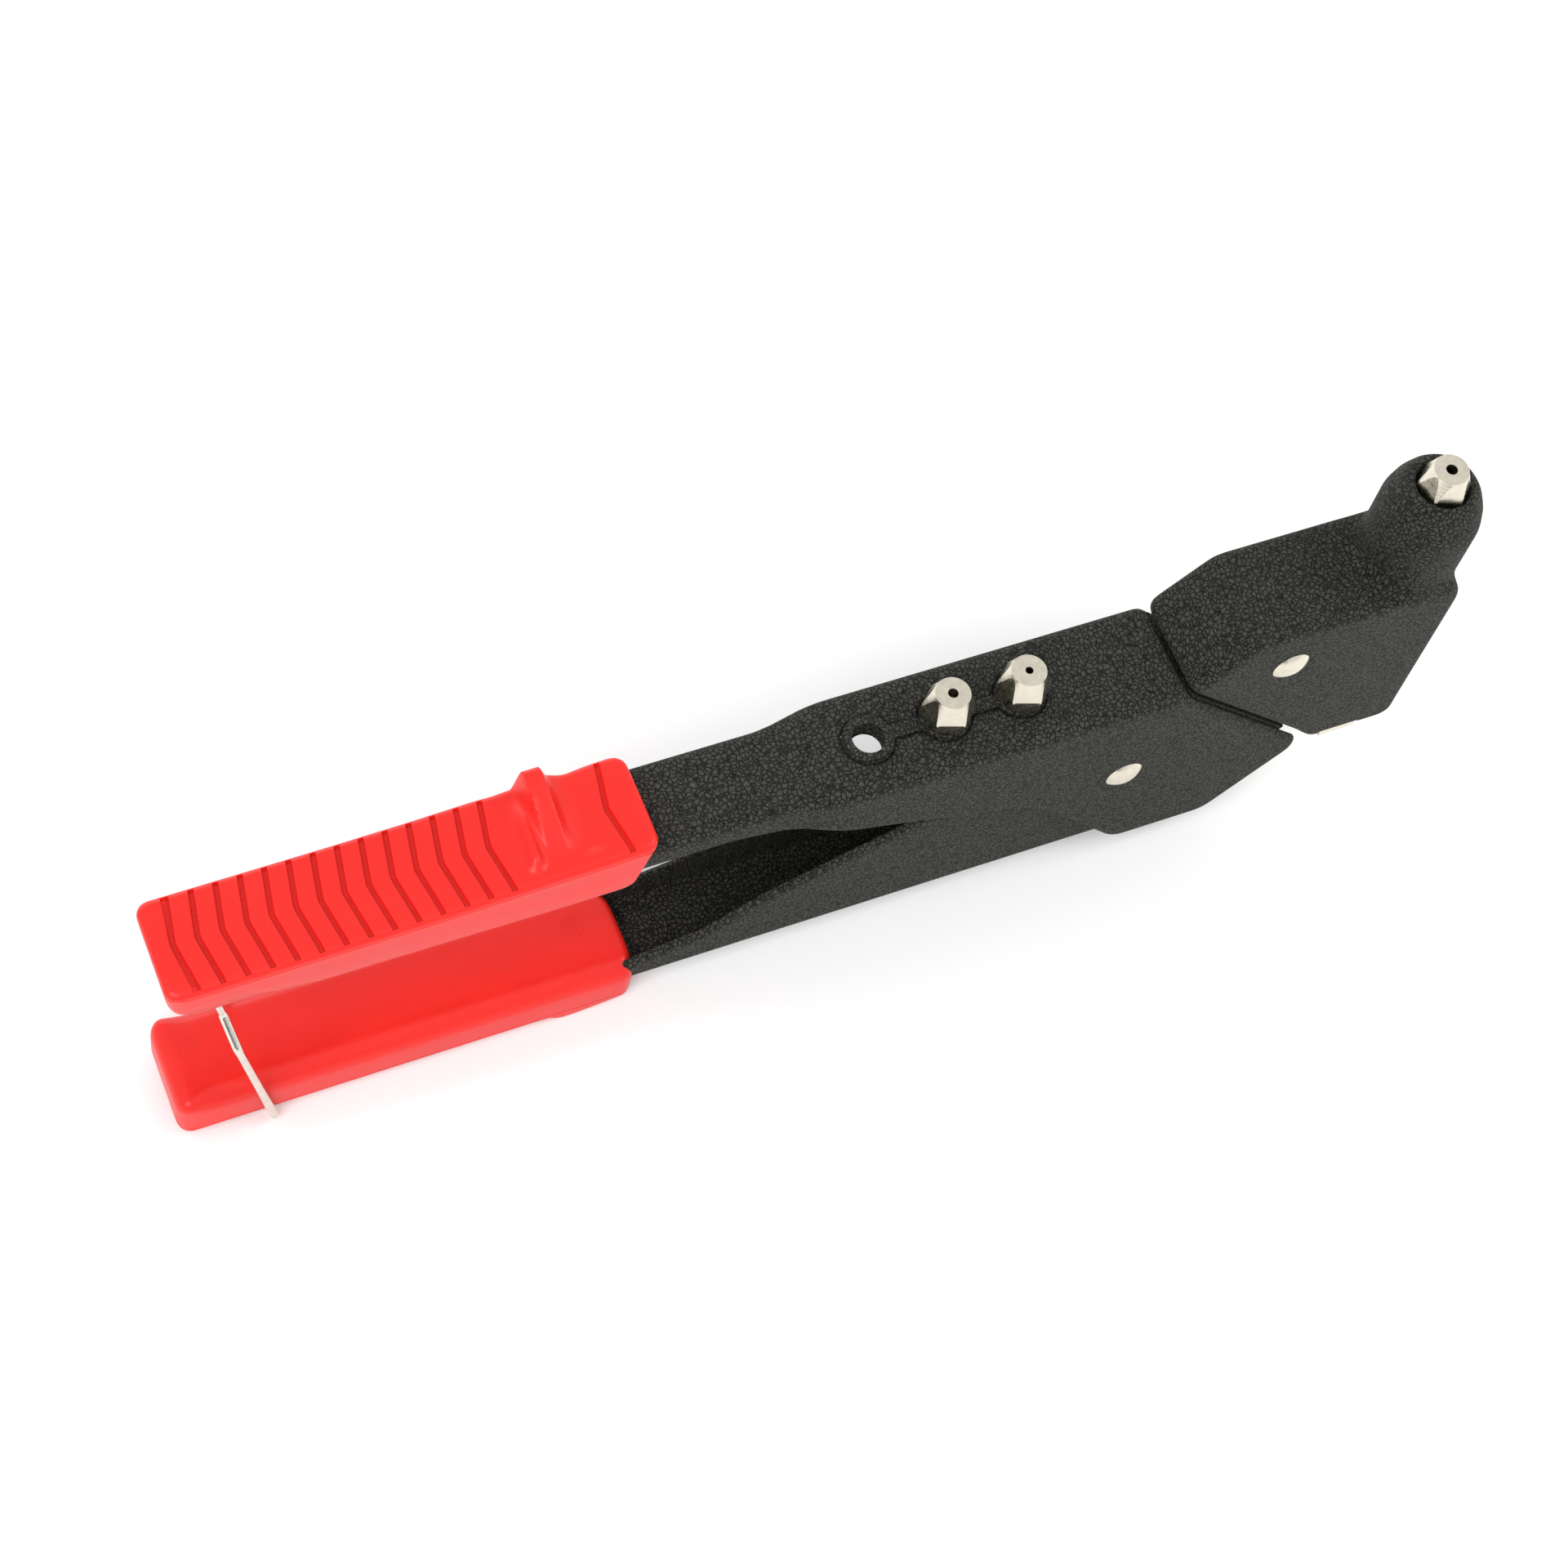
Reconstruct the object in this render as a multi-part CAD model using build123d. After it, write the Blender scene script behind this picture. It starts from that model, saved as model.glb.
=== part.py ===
"""Swivel-head hand riveter with two moulded grips, a folded steel body and a cast head.

All sizes are in millimetres. X runs from the rear end of the grips to the head, Z points the
way the nosepiece points, and the tool is symmetrical about Y = 0. Sizes are laid out on a
drawing whose zero is the rear end of the upper grip, at the level of the body's top face;
to_frame() then moves every piece so that the origin is under the middle of the tool.
"""
from build123d import *
from math import atan, degrees, radians, sin, sqrt, tan
import os

# ---- overall layout ----
tool_length = 285.3
grip_length = 101.0
foot_level = -68.0
barrel_radius = 11.0
nose_axis_x = tool_length - barrel_radius
body_half_width = 12.3
handle_half_width = body_half_width - 2.4
sheet = 1.8
running_gap = 0.3
pin_clearance = 0.05

# ---- upper body, folded from sheet ----
body_top_radius = 2.6
handle_wall_depth = 8.9
step_start_back = 91.5
step_length = 18.0
ear_depth = 63.3
ear_front_ahead = 21.5
ear_rear_back = 0.5
flank_start_back = 74.0
flank_start_depth = 16.4
flank_end_back = 33.5
flank_end_depth = 30.5

# ---- swivel joint between body and head ----
seam_to_nose = 54.8
seam_gap = 0.8
seam_length = 58.6
plate_thickness = 3.0
bush_outer_radius = 7.0
bush_flange_radius = 7.8
bush_flange_thickness = 2.0
clip_groove_depth = 1.0
clip_thickness = 1.2
wave_washer_thickness = 0.6

# ---- pivots ----
main_pin_back = 7.8
main_pin_z = -28.7
main_pin_radius = 3.0
head_pin_ahead = 24.6
head_pin_z = 0.4
head_pin_radius = 2.5
rivet_head_radius = 4.2
rivet_head_height = 1.5

# ---- lower handle ----
lever_half_width = body_half_width - 2.5
lever_bottom_depth = 62.0
lever_wall_rear_height = 7.0
lever_wall_front_height = 9.0
lever_front_radius = 19.0
handle_opening_deg = 20.0

# ---- pull linkage ----
fork_arm = 11.0
fork_pad_radius = 3.0
rod_radius = 3.5
rod_button_radius = 7.0
rod_button_thickness = 4.0
rod_eye_thickness = 9.8
cross_pin_radius = 2.0
cheek_inner = 5.3
cheek_thickness = 2.8
lever_pad_radius = 2.8
lever_hub_radius = 5.2

# ---- head casting ----
head_half_width = body_half_width - 0.1
head_wall = 3.0
shoulder_wall = 4.5
head_top_level = 14.0
head_bottom_level = -41.5
head_front_ahead = 9.1
head_edge_radius = 2.0
barrel_straight_top = 29.5
barrel_rim_level = 38.8
barrel_rim_radius = 7.3
nose_sink = 3.8
sink_gap = 0.1
barrel_bore_radius = 8.8
barrel_bore_top = 27.0

# ---- nosepieces ----
hex_across_flats = 10.0
hex_top_across_flats = 7.6
hex_height = 4.0
hex_chamfer = 0.9
nose_height = 8.9
nose_tip_radius = 3.75
hex_turn_deg = 42.0
thread_radius = 3.5
thread_clearance = 0.05
thread_depth = 0.45
thread_pitch = 1.0
nose_shank_length = 7.5
nose_spigot_radius = 2.8
nose_spigot_length = 3.0
mandrel_bores = {"nosepiece": 1.25, "stored_nosepiece_rear": 1.1, "stored_nosepiece_front": 0.85}

# ---- nosepiece store ----
store_first_back = 68.5
store_pitch = 17.35
boss_radius = 5.5
boss_rise = 0.7
boss_depth = 4.2
store_bar_width = 2.8
store_seam = 0.12

# ---- jaw train ----
case_radius = 7.6
case_length = 15.4
case_wall = 1.3
case_engagement = 1.0
neck_radius = 5.0
neck_bore_radius = 4.0
flange_radius = 8.3
flange_thickness = 3.4
jaw_top_radius = 3.3
jaw_bottom_radius = 5.8
jaw_length = 11.0
jaw_bore_radius = 0.9
jaw_split_gap = 0.3
pusher_radius = 3.7
pusher_bore_radius = 2.2
pusher_flange_radius = 6.6
spring_mean_radius = 5.2
spring_wire_radius = 0.6
spring_turns = 7
plug_thread_radius = 8.5
plug_flange_radius = 10.4
plug_tab_back = 5.4
plug_tab_width = 9.0
plug_flange_thickness = 1.8
plug_inner_level = -33.5
plug_bore_radius = 2.6

# ---- grips ----
grip_half_width = handle_half_width + 1.4
upper_grip_top = 1.6
upper_grip_front_top = 3.8
ridge_x = grip_length - 20.0
ridge_height = 8.8
skirt_depth_rear = 6.8
skirt_depth = 10.9
grip_corner_radius = 3.0
chevron_stop_back = 31.0
chevron_first_x = 4.0
chevron_pitch = 4.9
chevron_width = 1.75
chevron_depth = 0.6
chevron_sweep = 2.0
front_chevron_back = 8.5
lower_grip_top = -53.3
lower_grip_bottom = -65.8
guard_x = grip_length - 15.0

# ---- latch wire ----
wire_radius = 0.95
axle_x = 9.0
axle_z = -5.0
wire_upper_y = 6.9
wire_lower_y = grip_half_width + wire_radius + 0.4
wire_slant_deg = 10.8
wire_foot_z = -66.0
wire_jog_top_z = -20.5
wire_jog_bottom_z = -27.0
latch_slot_length = 8.6
latch_slot_height = 12.0

# ---- worked out from the sizes above ----
root2 = sqrt(2)
seam_sum = nose_axis_x - seam_to_nose
main_pin_x = seam_sum - main_pin_back
head_pin_x = seam_sum + head_pin_ahead
head_front_x = nose_axis_x + head_front_ahead
ear_front_x = seam_sum + ear_front_ahead
ear_rear_x = seam_sum - ear_rear_back
step_start_x = seam_sum - step_start_back
flank_start_x = seam_sum - flank_start_back
flank_end_x = seam_sum - flank_end_back
store_first_x = seam_sum - store_first_back
axis_dir = Vector(1 / root2, 0, 1 / root2)
square_dir = Vector(1 / root2, 0, -1 / root2)
main_pin = Vector(main_pin_x, 0, main_pin_z)
head_pin = Vector(head_pin_x, 0, head_pin_z)
seam_top = Vector(seam_sum, 0, 0)
seam_middle = seam_top + square_dir * (seam_length / 2)
opening = radians(handle_opening_deg)


def along_axis(point):
    """Distance of a point along the swivel axis, from the middle of the seam."""
    return (point - seam_middle).dot(axis_dir)


def off_axis(point):
    """Distance of a point above and behind the swivel axis."""
    return (seam_middle - point).dot(square_dir)


def on_axis(distance):
    """The point of the swivel axis this far towards the head from the seam."""
    return seam_middle + axis_dir * distance


rod_travel = fork_arm * opening
lever_arm = off_axis(head_pin)
lever_turn = rod_travel / lever_arm
nose_arm = nose_axis_x - head_pin_x
case_travel = nose_arm * lever_turn
jaw_travel = case_travel - 1.2
lever_half_turn_deg = degrees(lever_turn) / 2
lever_inner = lever_half_width - sheet
body_inner = body_half_width - sheet
head_inner = head_half_width - head_wall
spread = Vector(-(tool_length / 2), 0, -foot_level)

pieces = {}


def to_frame(shape):
    """Move a piece from the drawing's zero to the tool's own frame."""
    return shape.moved(Location(spread))


def keep(name, shape):
    """Store a finished piece under its node name."""
    shape.label = name
    pieces[name] = shape
    return shape


def profile(points, radii):
    """A face in the XZ plane from corner points (x, z), each corner rounded by its radius."""
    wire = FilletPolyline(*points, radius=radii, close=True)
    return Plane.XZ * make_face(wire)


def plate(points, radii, y_low, y_high):
    """A flat plate cut to a rounded outline in XZ, from y_low to y_high."""
    face = profile(points, radii)
    return extrude(face, amount=y_high - y_low).moved(Location((0, y_high, 0)))


def rod_y(x, z, radius, y_low, y_high):
    """A cylinder across the tool."""
    face = Plane.XZ * Circle(radius)
    return extrude(face, amount=y_high - y_low).moved(Location((x, y_high, z)))


def rod_z(x, radius, z_low, z_high):
    """An upright cylinder on the tool's middle plane."""
    return extrude(Circle(radius), amount=z_high - z_low).moved(Location((x, 0, z_low)))


def axis_plane(distance):
    """A plane square to the swivel axis, with its X across the tool."""
    return Plane(origin=on_axis(distance), x_dir=(0, 1, 0), z_dir=axis_dir)


def rod_on_axis(radius, low, high):
    """A cylinder on the swivel axis between two distances from the seam."""
    return extrude(axis_plane(low) * Circle(radius), amount=high - low)


def turned(points, x):
    """A solid of revolution about the upright axis at x, from (radius, z) points."""
    face = Plane.XZ * make_face(Polyline(*points, close=True))
    return revolve(face, Axis.Z).moved(Location((x, 0, 0)))


# ---------------------------------------------------------------- upper body


def step_outline(half_narrow, half_wide, inset):
    """Plan outline of the handle and body: narrow behind, wide in front, one smooth step."""
    rear_x = 4.0
    front_x = tool_length
    start = step_start_x + inset
    end = start + step_length
    near = [
        Line((rear_x, -half_narrow), (start, -half_narrow)),
        Spline((start, -half_narrow), (end, -half_wide), tangents=[(1, 0), (1, 0)]),
        Line((end, -half_wide), (front_x, -half_wide)),
    ]
    far = [mirror(edge, Plane.XZ) for edge in near]
    caps = [
        Line((rear_x, -half_narrow), (rear_x, half_narrow)),
        Line((front_x, -half_wide), (front_x, half_wide)),
    ]
    return make_face(near + far + caps)


def body_side_points():
    """Side outline of the body: handle strip, flank, deep ear and 45 degree front."""
    seam_bottom = seam_top + square_dir * seam_length
    points = [
        (4.0, 0.0),
        (seam_top.X, 0.0),
        (seam_bottom.X, seam_bottom.Z),
        (ear_front_x, -ear_depth),
        (ear_rear_x - 2.0, -ear_depth),
        (ear_rear_x - 23.5, -38.0),
        (flank_end_x, -flank_end_depth),
        (flank_start_x, -flank_start_depth),
        (step_start_x + 6.0, -12.0),
        (step_start_x - 10.0, -handle_wall_depth),
        (grip_length - 17.0, -handle_wall_depth),
        (grip_length - 39.0, -5.4),
        (4.0, -5.4),
    ]
    radii = [0.5, 0.9, 5.0, 7.0, 7.0, 18.0, 14.0, 8.0, 8.0, 10.0, 10.0, 10.0, 1.0]
    return points, radii


def body_outer():
    """The body's outside as one full block, with its long top edges rounded."""
    points, radii = body_side_points()
    side = plate(points, radii, -body_half_width, body_half_width)
    plan = extrude(step_outline(handle_half_width, body_half_width, 0.0), amount=90.0)
    block = side & plan.moved(Location((0, 0, -85.0)))
    top_edges = block.edges().filter_by(lambda e: abs(e.center().Z) < 0.05 and abs(e.center().Y) > 5)
    return fillet(top_edges, body_top_radius)


def body_cavity():
    """The inside of the folded channel, open below and at the front."""
    plan = step_outline(handle_half_width - sheet, body_half_width - sheet, 1.0)
    return extrude(plan, amount=100.0).moved(Location((0, 0, -100.0 - sheet)))


def store_plan(grow):
    """Plan of the nosepiece store: three round bosses joined by a bar."""
    length = 2 * store_pitch
    bar = Pos(store_first_x + store_pitch, 0) * Rectangle(length, store_bar_width + 2 * grow)
    rings = [Pos(store_first_x + i * store_pitch, 0) * Circle(boss_radius + grow) for i in range(3)]
    return bar + rings


def body_shell():
    shell = body_outer() - body_cavity()
    shell -= extrude(store_plan(store_seam), amount=20.0).moved(Location((0, 0, -10.0)))
    shell -= rod_y(main_pin_x, main_pin_z, main_pin_radius, -20.0, 20.0)
    return shell


def seam_face(half_width, margin_top, margin_bottom, corner):
    """A rounded rectangle in the seam plane, measured from the seam's two ends."""
    height = seam_length - margin_top - margin_bottom
    shift = (margin_top - margin_bottom) / 2
    return Pos(0, shift) * RectangleRounded(2 * half_width, height, corner)


def seam_plane(distance):
    """A plane square to the swivel axis whose Y points down and forward along the seam."""
    return Plane(origin=on_axis(distance), x_dir=(0, -1, 0), z_dir=axis_dir)


def swivel_plate():
    """Closes the front of the body and carries the swivel bush."""
    face = seam_plane(-plate_thickness) * seam_face(body_inner, 3.0, 9.0, 1.5)
    disc = extrude(face, amount=plate_thickness)
    return disc - rod_on_axis(bush_outer_radius, -plate_thickness - 1, 1)


def swivel_bush():
    """Hollow flanged bush that the head turns on and the pull rod slides in."""
    reach = seam_gap + plate_thickness + wave_washer_thickness + clip_thickness + 2.2
    inner_face = -plate_thickness - bush_flange_thickness
    bush = rod_on_axis(bush_outer_radius, inner_face, reach)
    bush += rod_on_axis(bush_flange_radius, inner_face, -plate_thickness)
    bush -= rod_on_axis(rod_radius + pin_clearance, inner_face - 1, reach + 1)
    low, high = clip_span()
    groove = rod_on_axis(bush_outer_radius + 1, low, high)
    return bush - (groove - rod_on_axis(bush_outer_radius - clip_groove_depth, low, high))


def clip_span():
    """Where the retaining clip lies along the swivel axis."""
    low = seam_gap + plate_thickness + wave_washer_thickness + 0.2
    return low, low + clip_thickness


def swivel_clip():
    """Open retaining ring that holds the head on the bush."""
    low, high = clip_span()
    inner = bush_outer_radius - clip_groove_depth
    ring = rod_on_axis(bush_outer_radius + 1.4, low, high) - rod_on_axis(inner, low - 1, high + 1)
    opening_box = seam_plane(low - 1) * Pos(0, -bush_outer_radius) * Rectangle(6.0, 8.0)
    return ring - extrude(opening_box, amount=clip_thickness + 2)


def wave_washer():
    """Thin spring washer that gives the swivel its drag."""
    low = seam_gap + plate_thickness + 0.1
    inner = bush_outer_radius + pin_clearance
    outer = rod_on_axis(bush_outer_radius + 2.0, low, low + wave_washer_thickness)
    return outer - rod_on_axis(inner, low - 1, low + wave_washer_thickness + 1)


def rivet(x, z, radius, half_width):
    """A through rivet with a low domed head on each side."""
    shank = rod_y(x, z, radius, -half_width, half_width)
    dome_radius = (rivet_head_radius**2 + rivet_head_height**2) / (2 * rivet_head_height)
    dome = Sphere(dome_radius).moved(Location((x, half_width + rivet_head_height - dome_radius, z)))
    head = dome & rod_y(x, z, rivet_head_radius, half_width, half_width + 5)
    return shank + head + mirror(head, Plane.XZ)


def pivot_washers():
    """Two thin washers between the handle walls and the body walls."""
    gap = body_inner - lever_half_width
    thin = gap - 0.2
    y_low = lever_half_width + 0.1
    ring = rod_y(main_pin_x, main_pin_z, 7.0, y_low, y_low + thin)
    ring -= rod_y(main_pin_x, main_pin_z, main_pin_radius + pin_clearance, 0, 20)
    return Compound(children=[ring, mirror(ring, Plane.XZ)])


def thread_rings(x, z_low, z_high):
    """Shallow V grooves of an internal thread, as rings at the thread's pitch."""
    count = int((z_high - z_low) / thread_pitch)
    rings = []
    half_mouth = thread_pitch * 0.36
    for i in range(count):
        z = z_low + (i + 0.5) * thread_pitch
        points = [
            (thread_radius - 0.2, z - half_mouth),
            (thread_radius + thread_depth, z - 0.04),
            (thread_radius + thread_depth, z + 0.04),
            (thread_radius - 0.2, z + half_mouth),
        ]
        rings.append(turned(points, x))
    return rings


def nosepiece_store():
    """Strip with three threaded bosses, set in the body's top face."""
    strip = extrude(store_plan(0.0), amount=sheet + 0.35).moved(Location((0, 0, -sheet)))
    for i in range(3):
        x = store_first_x + i * store_pitch
        rim = [
            (0.0, -boss_depth),
            (boss_radius - 0.6, -boss_depth),
            (boss_radius, -boss_depth + 0.6),
            (boss_radius, boss_rise - 0.5),
            (boss_radius - 0.5, boss_rise),
            (0.0, boss_rise),
        ]
        strip += turned(rim, x)
    for i in range(3):
        x = store_first_x + i * store_pitch
        strip -= rod_z(x, thread_radius, -boss_depth - 1, boss_rise + 1)
        strip -= thread_rings(x, -boss_depth + 0.2, boss_rise - 0.3)
    return strip


def nosepiece(x, seat, bore_radius, spigot):
    """Screw-in nosepiece on its seat: a hexagon that narrows to a flat round end."""
    corner = hex_across_flats / sqrt(3)
    taper_height = nose_height - hex_height
    slope = degrees(atan((hex_across_flats - hex_top_across_flats) / 2 / taper_height))
    prism = extrude(RegularPolygon(corner, 6), amount=hex_height)
    cap = extrude(RegularPolygon(corner, 6), amount=taper_height, taper=slope)
    prism += cap.moved(Location((0, 0, hex_height)))
    outline = [
        (0.0, 0.0),
        (corner - hex_chamfer, 0.0),
        (corner + 0.05, hex_chamfer),
        (corner + 0.05, hex_height - 0.6),
        (nose_tip_radius, nose_height),
        (0.0, nose_height),
    ]
    body = (prism & turned(outline, 0)).rotate(Axis.Z, hex_turn_deg).moved(Location((x, 0, seat)))
    shank = rod_z(x, thread_radius - thread_clearance, seat - nose_shank_length, seat)
    body += shank
    if spigot:
        low = seat - nose_shank_length - nose_spigot_length
        body += rod_z(x, nose_spigot_radius, low, seat)
    return body - rod_z(x, bore_radius, seat - 20, seat + 20)


# -------------------------------------------------------------- lower handle


def lever_side_points():
    """Side outline of the lower handle: shallow in the grip, deep at the pivot."""
    bottom = -lever_bottom_depth
    rear_top = bottom + lever_wall_rear_height
    front_low = main_pin_x + 10.0
    arc_x = main_pin_x + lever_front_radius
    points = [
        (3.0, bottom),
        (front_low, bottom),
        (arc_x - 1.5, main_pin_z - 14.0),
        (arc_x, main_pin_z),
        (main_pin_x + 11.0, main_pin_z + 15.0),
        (main_pin_x - 9.0, main_pin_z + 14.0),
        (main_pin_x - 49.5, -27.4),
        (main_pin_x - 81.1, -41.2),
        (main_pin_x - 94.9, bottom + lever_wall_front_height + 3.0),
        (grip_length + 1.0, bottom + lever_wall_front_height),
        (grip_length - 4.0, rear_top),
        (3.0, rear_top),
    ]
    radii = [1.5, 8.0, 8.0, 8.0, 9.0, 14.0, 20.0, 10.0, 8.0, 4.0, 4.0, 1.5]
    return points, radii


def lower_handle():
    """The moving handle, folded from sheet as a channel that opens upwards."""
    points, radii = lever_side_points()
    block = plate(points, radii, -lever_half_width, lever_half_width)
    low_edges = block.edges().filter_by(Axis.X).filter_by(
        lambda e: abs(e.center().Z + lever_bottom_depth) < 0.1 and e.length > 50
    )
    block = fillet(low_edges, 2.4)
    inside_length = tool_length
    cavity = Box(inside_length, 2 * lever_inner, 100.0)
    cavity_z = -lever_bottom_depth + sheet + 50.0
    channel = block - cavity.moved(Location((inside_length / 2, 0, cavity_z)))
    channel -= rod_y(main_pin_x, main_pin_z, main_pin_radius + pin_clearance, -20, 20)
    return channel - rod_y(*fork_rivet_place(), 2.0, -20, 20)


def fork_rivet_place():
    """Centre of the second rivet of the pull fork, as x and z."""
    return main_pin_x - 13.0, main_pin_z + 1.0


def fork_point(outward, along):
    """A point of the pull fork at mid travel, from the main pin."""
    point = main_pin + square_dir * outward + axis_dir * along
    return point.X, point.Z


def pull_fork():
    """Forked block between the handle walls that draws the pull rod."""
    half = lever_inner - 0.02
    rivet_x, rivet_z = fork_rivet_place()
    toe_x, toe_z = fork_point(fork_arm, 0.0)
    toe = rod_y(toe_x, toe_z, fork_pad_radius, -half, half)
    finger_points = [
        fork_point(2.0, 4.6),
        fork_point(fork_arm, fork_pad_radius),
        fork_point(fork_arm, -fork_pad_radius),
        fork_point(fork_arm - 4.0, -fork_pad_radius + 0.9),
        fork_point(4.4, -3.6),
    ]
    finger = plate(finger_points, 0.3, -half, half) + toe
    slot = Box(2 * rod_radius + 12.0, 2 * rod_radius + 1.0, 40.0)
    slot_shift = fork_arm - fork_pad_radius - 1.0 + rod_radius + 6.0
    finger -= slot.rotate(Axis.Y, 45.0).moved(Location(main_pin + square_dir * slot_shift))
    finger = finger.rotate(Axis(main_pin, (0, 1, 0)), handle_opening_deg / 2)
    hub = rod_y(main_pin_x, main_pin_z, 6.0, -half, half)
    heel = rod_y(rivet_x, rivet_z, 4.2, -half, half)
    bridge_points = [
        (rivet_x, rivet_z - 4.2),
        (rivet_x, rivet_z + 4.2),
        (main_pin_x, main_pin_z + 6.0),
        (main_pin_x, main_pin_z - 6.0),
    ]
    bridge = plate(bridge_points, 0.2, -half, half)
    block = hub + heel + bridge + finger
    block -= rod_y(main_pin_x, main_pin_z, main_pin_radius + pin_clearance, -20, 20)
    return block - rod_y(rivet_x, rivet_z, 2.0, -20, 20)


def fork_rivet():
    """Flush rivet that fixes the pull fork between the handle walls."""
    x, z = fork_rivet_place()
    return rod_y(x, z, 2.0, -lever_half_width, lever_half_width)


# -------------------------------------------------------------- pull linkage


def button_span():
    """Where the rod's button lies along the swivel axis with the handles closed."""
    foot = along_axis(main_pin) - fork_arm * sin(opening / 2)
    high = foot - fork_pad_radius - running_gap
    return high - rod_button_thickness, high


def cross_pin_distance():
    """Distance of the rod's cross pin along the swivel axis with the handles closed."""
    return along_axis(head_pin) - rod_travel / 2


def pull_rod():
    """Rod through the swivel bush, with a button below and an eye above."""
    low, high = button_span()
    pin_at = cross_pin_distance()
    rod = rod_on_axis(rod_radius, high - 1, pin_at)
    rod += rod_on_axis(rod_button_radius, low, high)
    eye_plane = Plane(origin=on_axis(pin_at), x_dir=axis_dir, z_dir=(0, -1, 0))
    eye_shape = Circle(4.2) + Pos(-5.0, 0) * Rectangle(10.0, 8.4)
    eye = extrude(eye_plane * eye_shape, amount=rod_eye_thickness / 2, both=True)
    eye -= rod_on_axis(20.0, pin_at - 60.0, pin_at - 7.0)
    rod += eye
    pin = on_axis(pin_at)
    return rod - rod_y(pin.X, pin.Z, cross_pin_radius, -20, 20)


def rod_cross_pin():
    """Pin in the rod's eye that turns the head lever."""
    pin = on_axis(cross_pin_distance())
    end = cheek_inner + cheek_thickness + 0.2
    return rod_y(pin.X, pin.Z, cross_pin_radius, -end, end)


def lever_cheek():
    """One cheek of the head lever at mid travel, with its slot and its pad."""
    foot = head_pin + square_dir * lever_arm
    pad_x = nose_axis_x
    pad_z = head_pin_z
    y_low = cheek_inner
    y_high = cheek_inner + cheek_thickness
    cheek = plate(
        [
            (head_pin_x - 2.0, head_pin_z + lever_hub_radius - 0.4),
            (pad_x - 8.0, pad_z + lever_pad_radius),
            (pad_x, pad_z + lever_pad_radius),
            (pad_x, pad_z - lever_pad_radius),
            (pad_x - 9.3, pad_z - lever_pad_radius + 1.7),
            (foot.X + 7.5, foot.Z - 2.0),
            (foot.X + 2.6, foot.Z - 5.0),
            (foot.X - 4.4, foot.Z - 2.0),
            (head_pin_x - 4.4, head_pin_z - 2.8),
        ],
        0.8,
        y_low,
        y_high,
    )
    cheek += rod_y(pad_x, pad_z, lever_pad_radius, y_low, y_high)
    cheek += rod_y(head_pin_x, head_pin_z, lever_hub_radius, y_low, y_high)
    slot_plane = Plane(origin=foot, x_dir=square_dir, z_dir=(0, -1, 0))
    slot = SlotOverall(2 * cross_pin_radius + 1.4, 2 * cross_pin_radius + 0.3)
    return cheek - extrude(slot_plane * slot, amount=30.0, both=True)


def head_lever():
    """Two cheeks on one hub: the rod turns it and it draws the jaw case back."""
    cheek = lever_cheek()
    hub = rod_y(head_pin_x, head_pin_z, lever_hub_radius, -cheek_inner - 0.5, cheek_inner + 0.5)
    lever = cheek + mirror(cheek, Plane.XZ) + hub
    lever -= rod_y(head_pin_x, head_pin_z, head_pin_radius + pin_clearance, -20, 20)
    return lever.rotate(Axis(head_pin, (0, 1, 0)), lever_half_turn_deg)


def lever_washers():
    """Thin washers between the head lever and the casting's walls."""
    y_low = cheek_inner + cheek_thickness + 0.1
    ring = rod_y(head_pin_x, head_pin_z, 5.0, y_low, head_inner - 0.1)
    ring -= rod_y(head_pin_x, head_pin_z, head_pin_radius + pin_clearance, 0, 20)
    return Compound(children=[ring, mirror(ring, Plane.XZ)])


# ---------------------------------------------------------------------- head


def head_side_points():
    """Side outline of the head block: 45 degree rear face, sloped shoulder, flat top."""
    rear_top = on_axis(seam_gap) - square_dir * (seam_length / 2)
    rear_bottom = on_axis(seam_gap) + square_dir * (seam_length / 2)
    shoulder = head_top_level - rear_top.Z
    points = [
        (rear_top.X, rear_top.Z),
        (rear_top.X + shoulder, head_top_level),
        (head_front_x, head_top_level),
        (head_front_x, head_bottom_level),
        (rear_bottom.X + 1.0, head_bottom_level),
        (rear_bottom.X, rear_bottom.Z),
    ]
    radii = [2.0, 5.0, 5.5, 4.5, 2.0, 0.6]
    return points, radii


def cavity_floor():
    """Level of the floor of the casting's cavity."""
    return plug_inner_level + 0.5


def head_cavity():
    """Room inside the casting for the lever, open at the 45 degree rear face."""
    top = head_top_level - head_wall
    floor = cavity_floor()
    rear_top = on_axis(seam_gap) - square_dir * (seam_length / 2 - shoulder_wall)
    rise = top - rear_top.Z
    points = [
        (rear_top.X - 4.0, rear_top.Z - 4.0),
        (rear_top.X + rise, top),
        (head_front_x - head_wall, top),
        (head_front_x - head_wall, floor),
        (seam_sum - floor - 4.0, floor),
    ]
    return plate(points, 0.6, -head_inner, head_inner)


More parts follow.
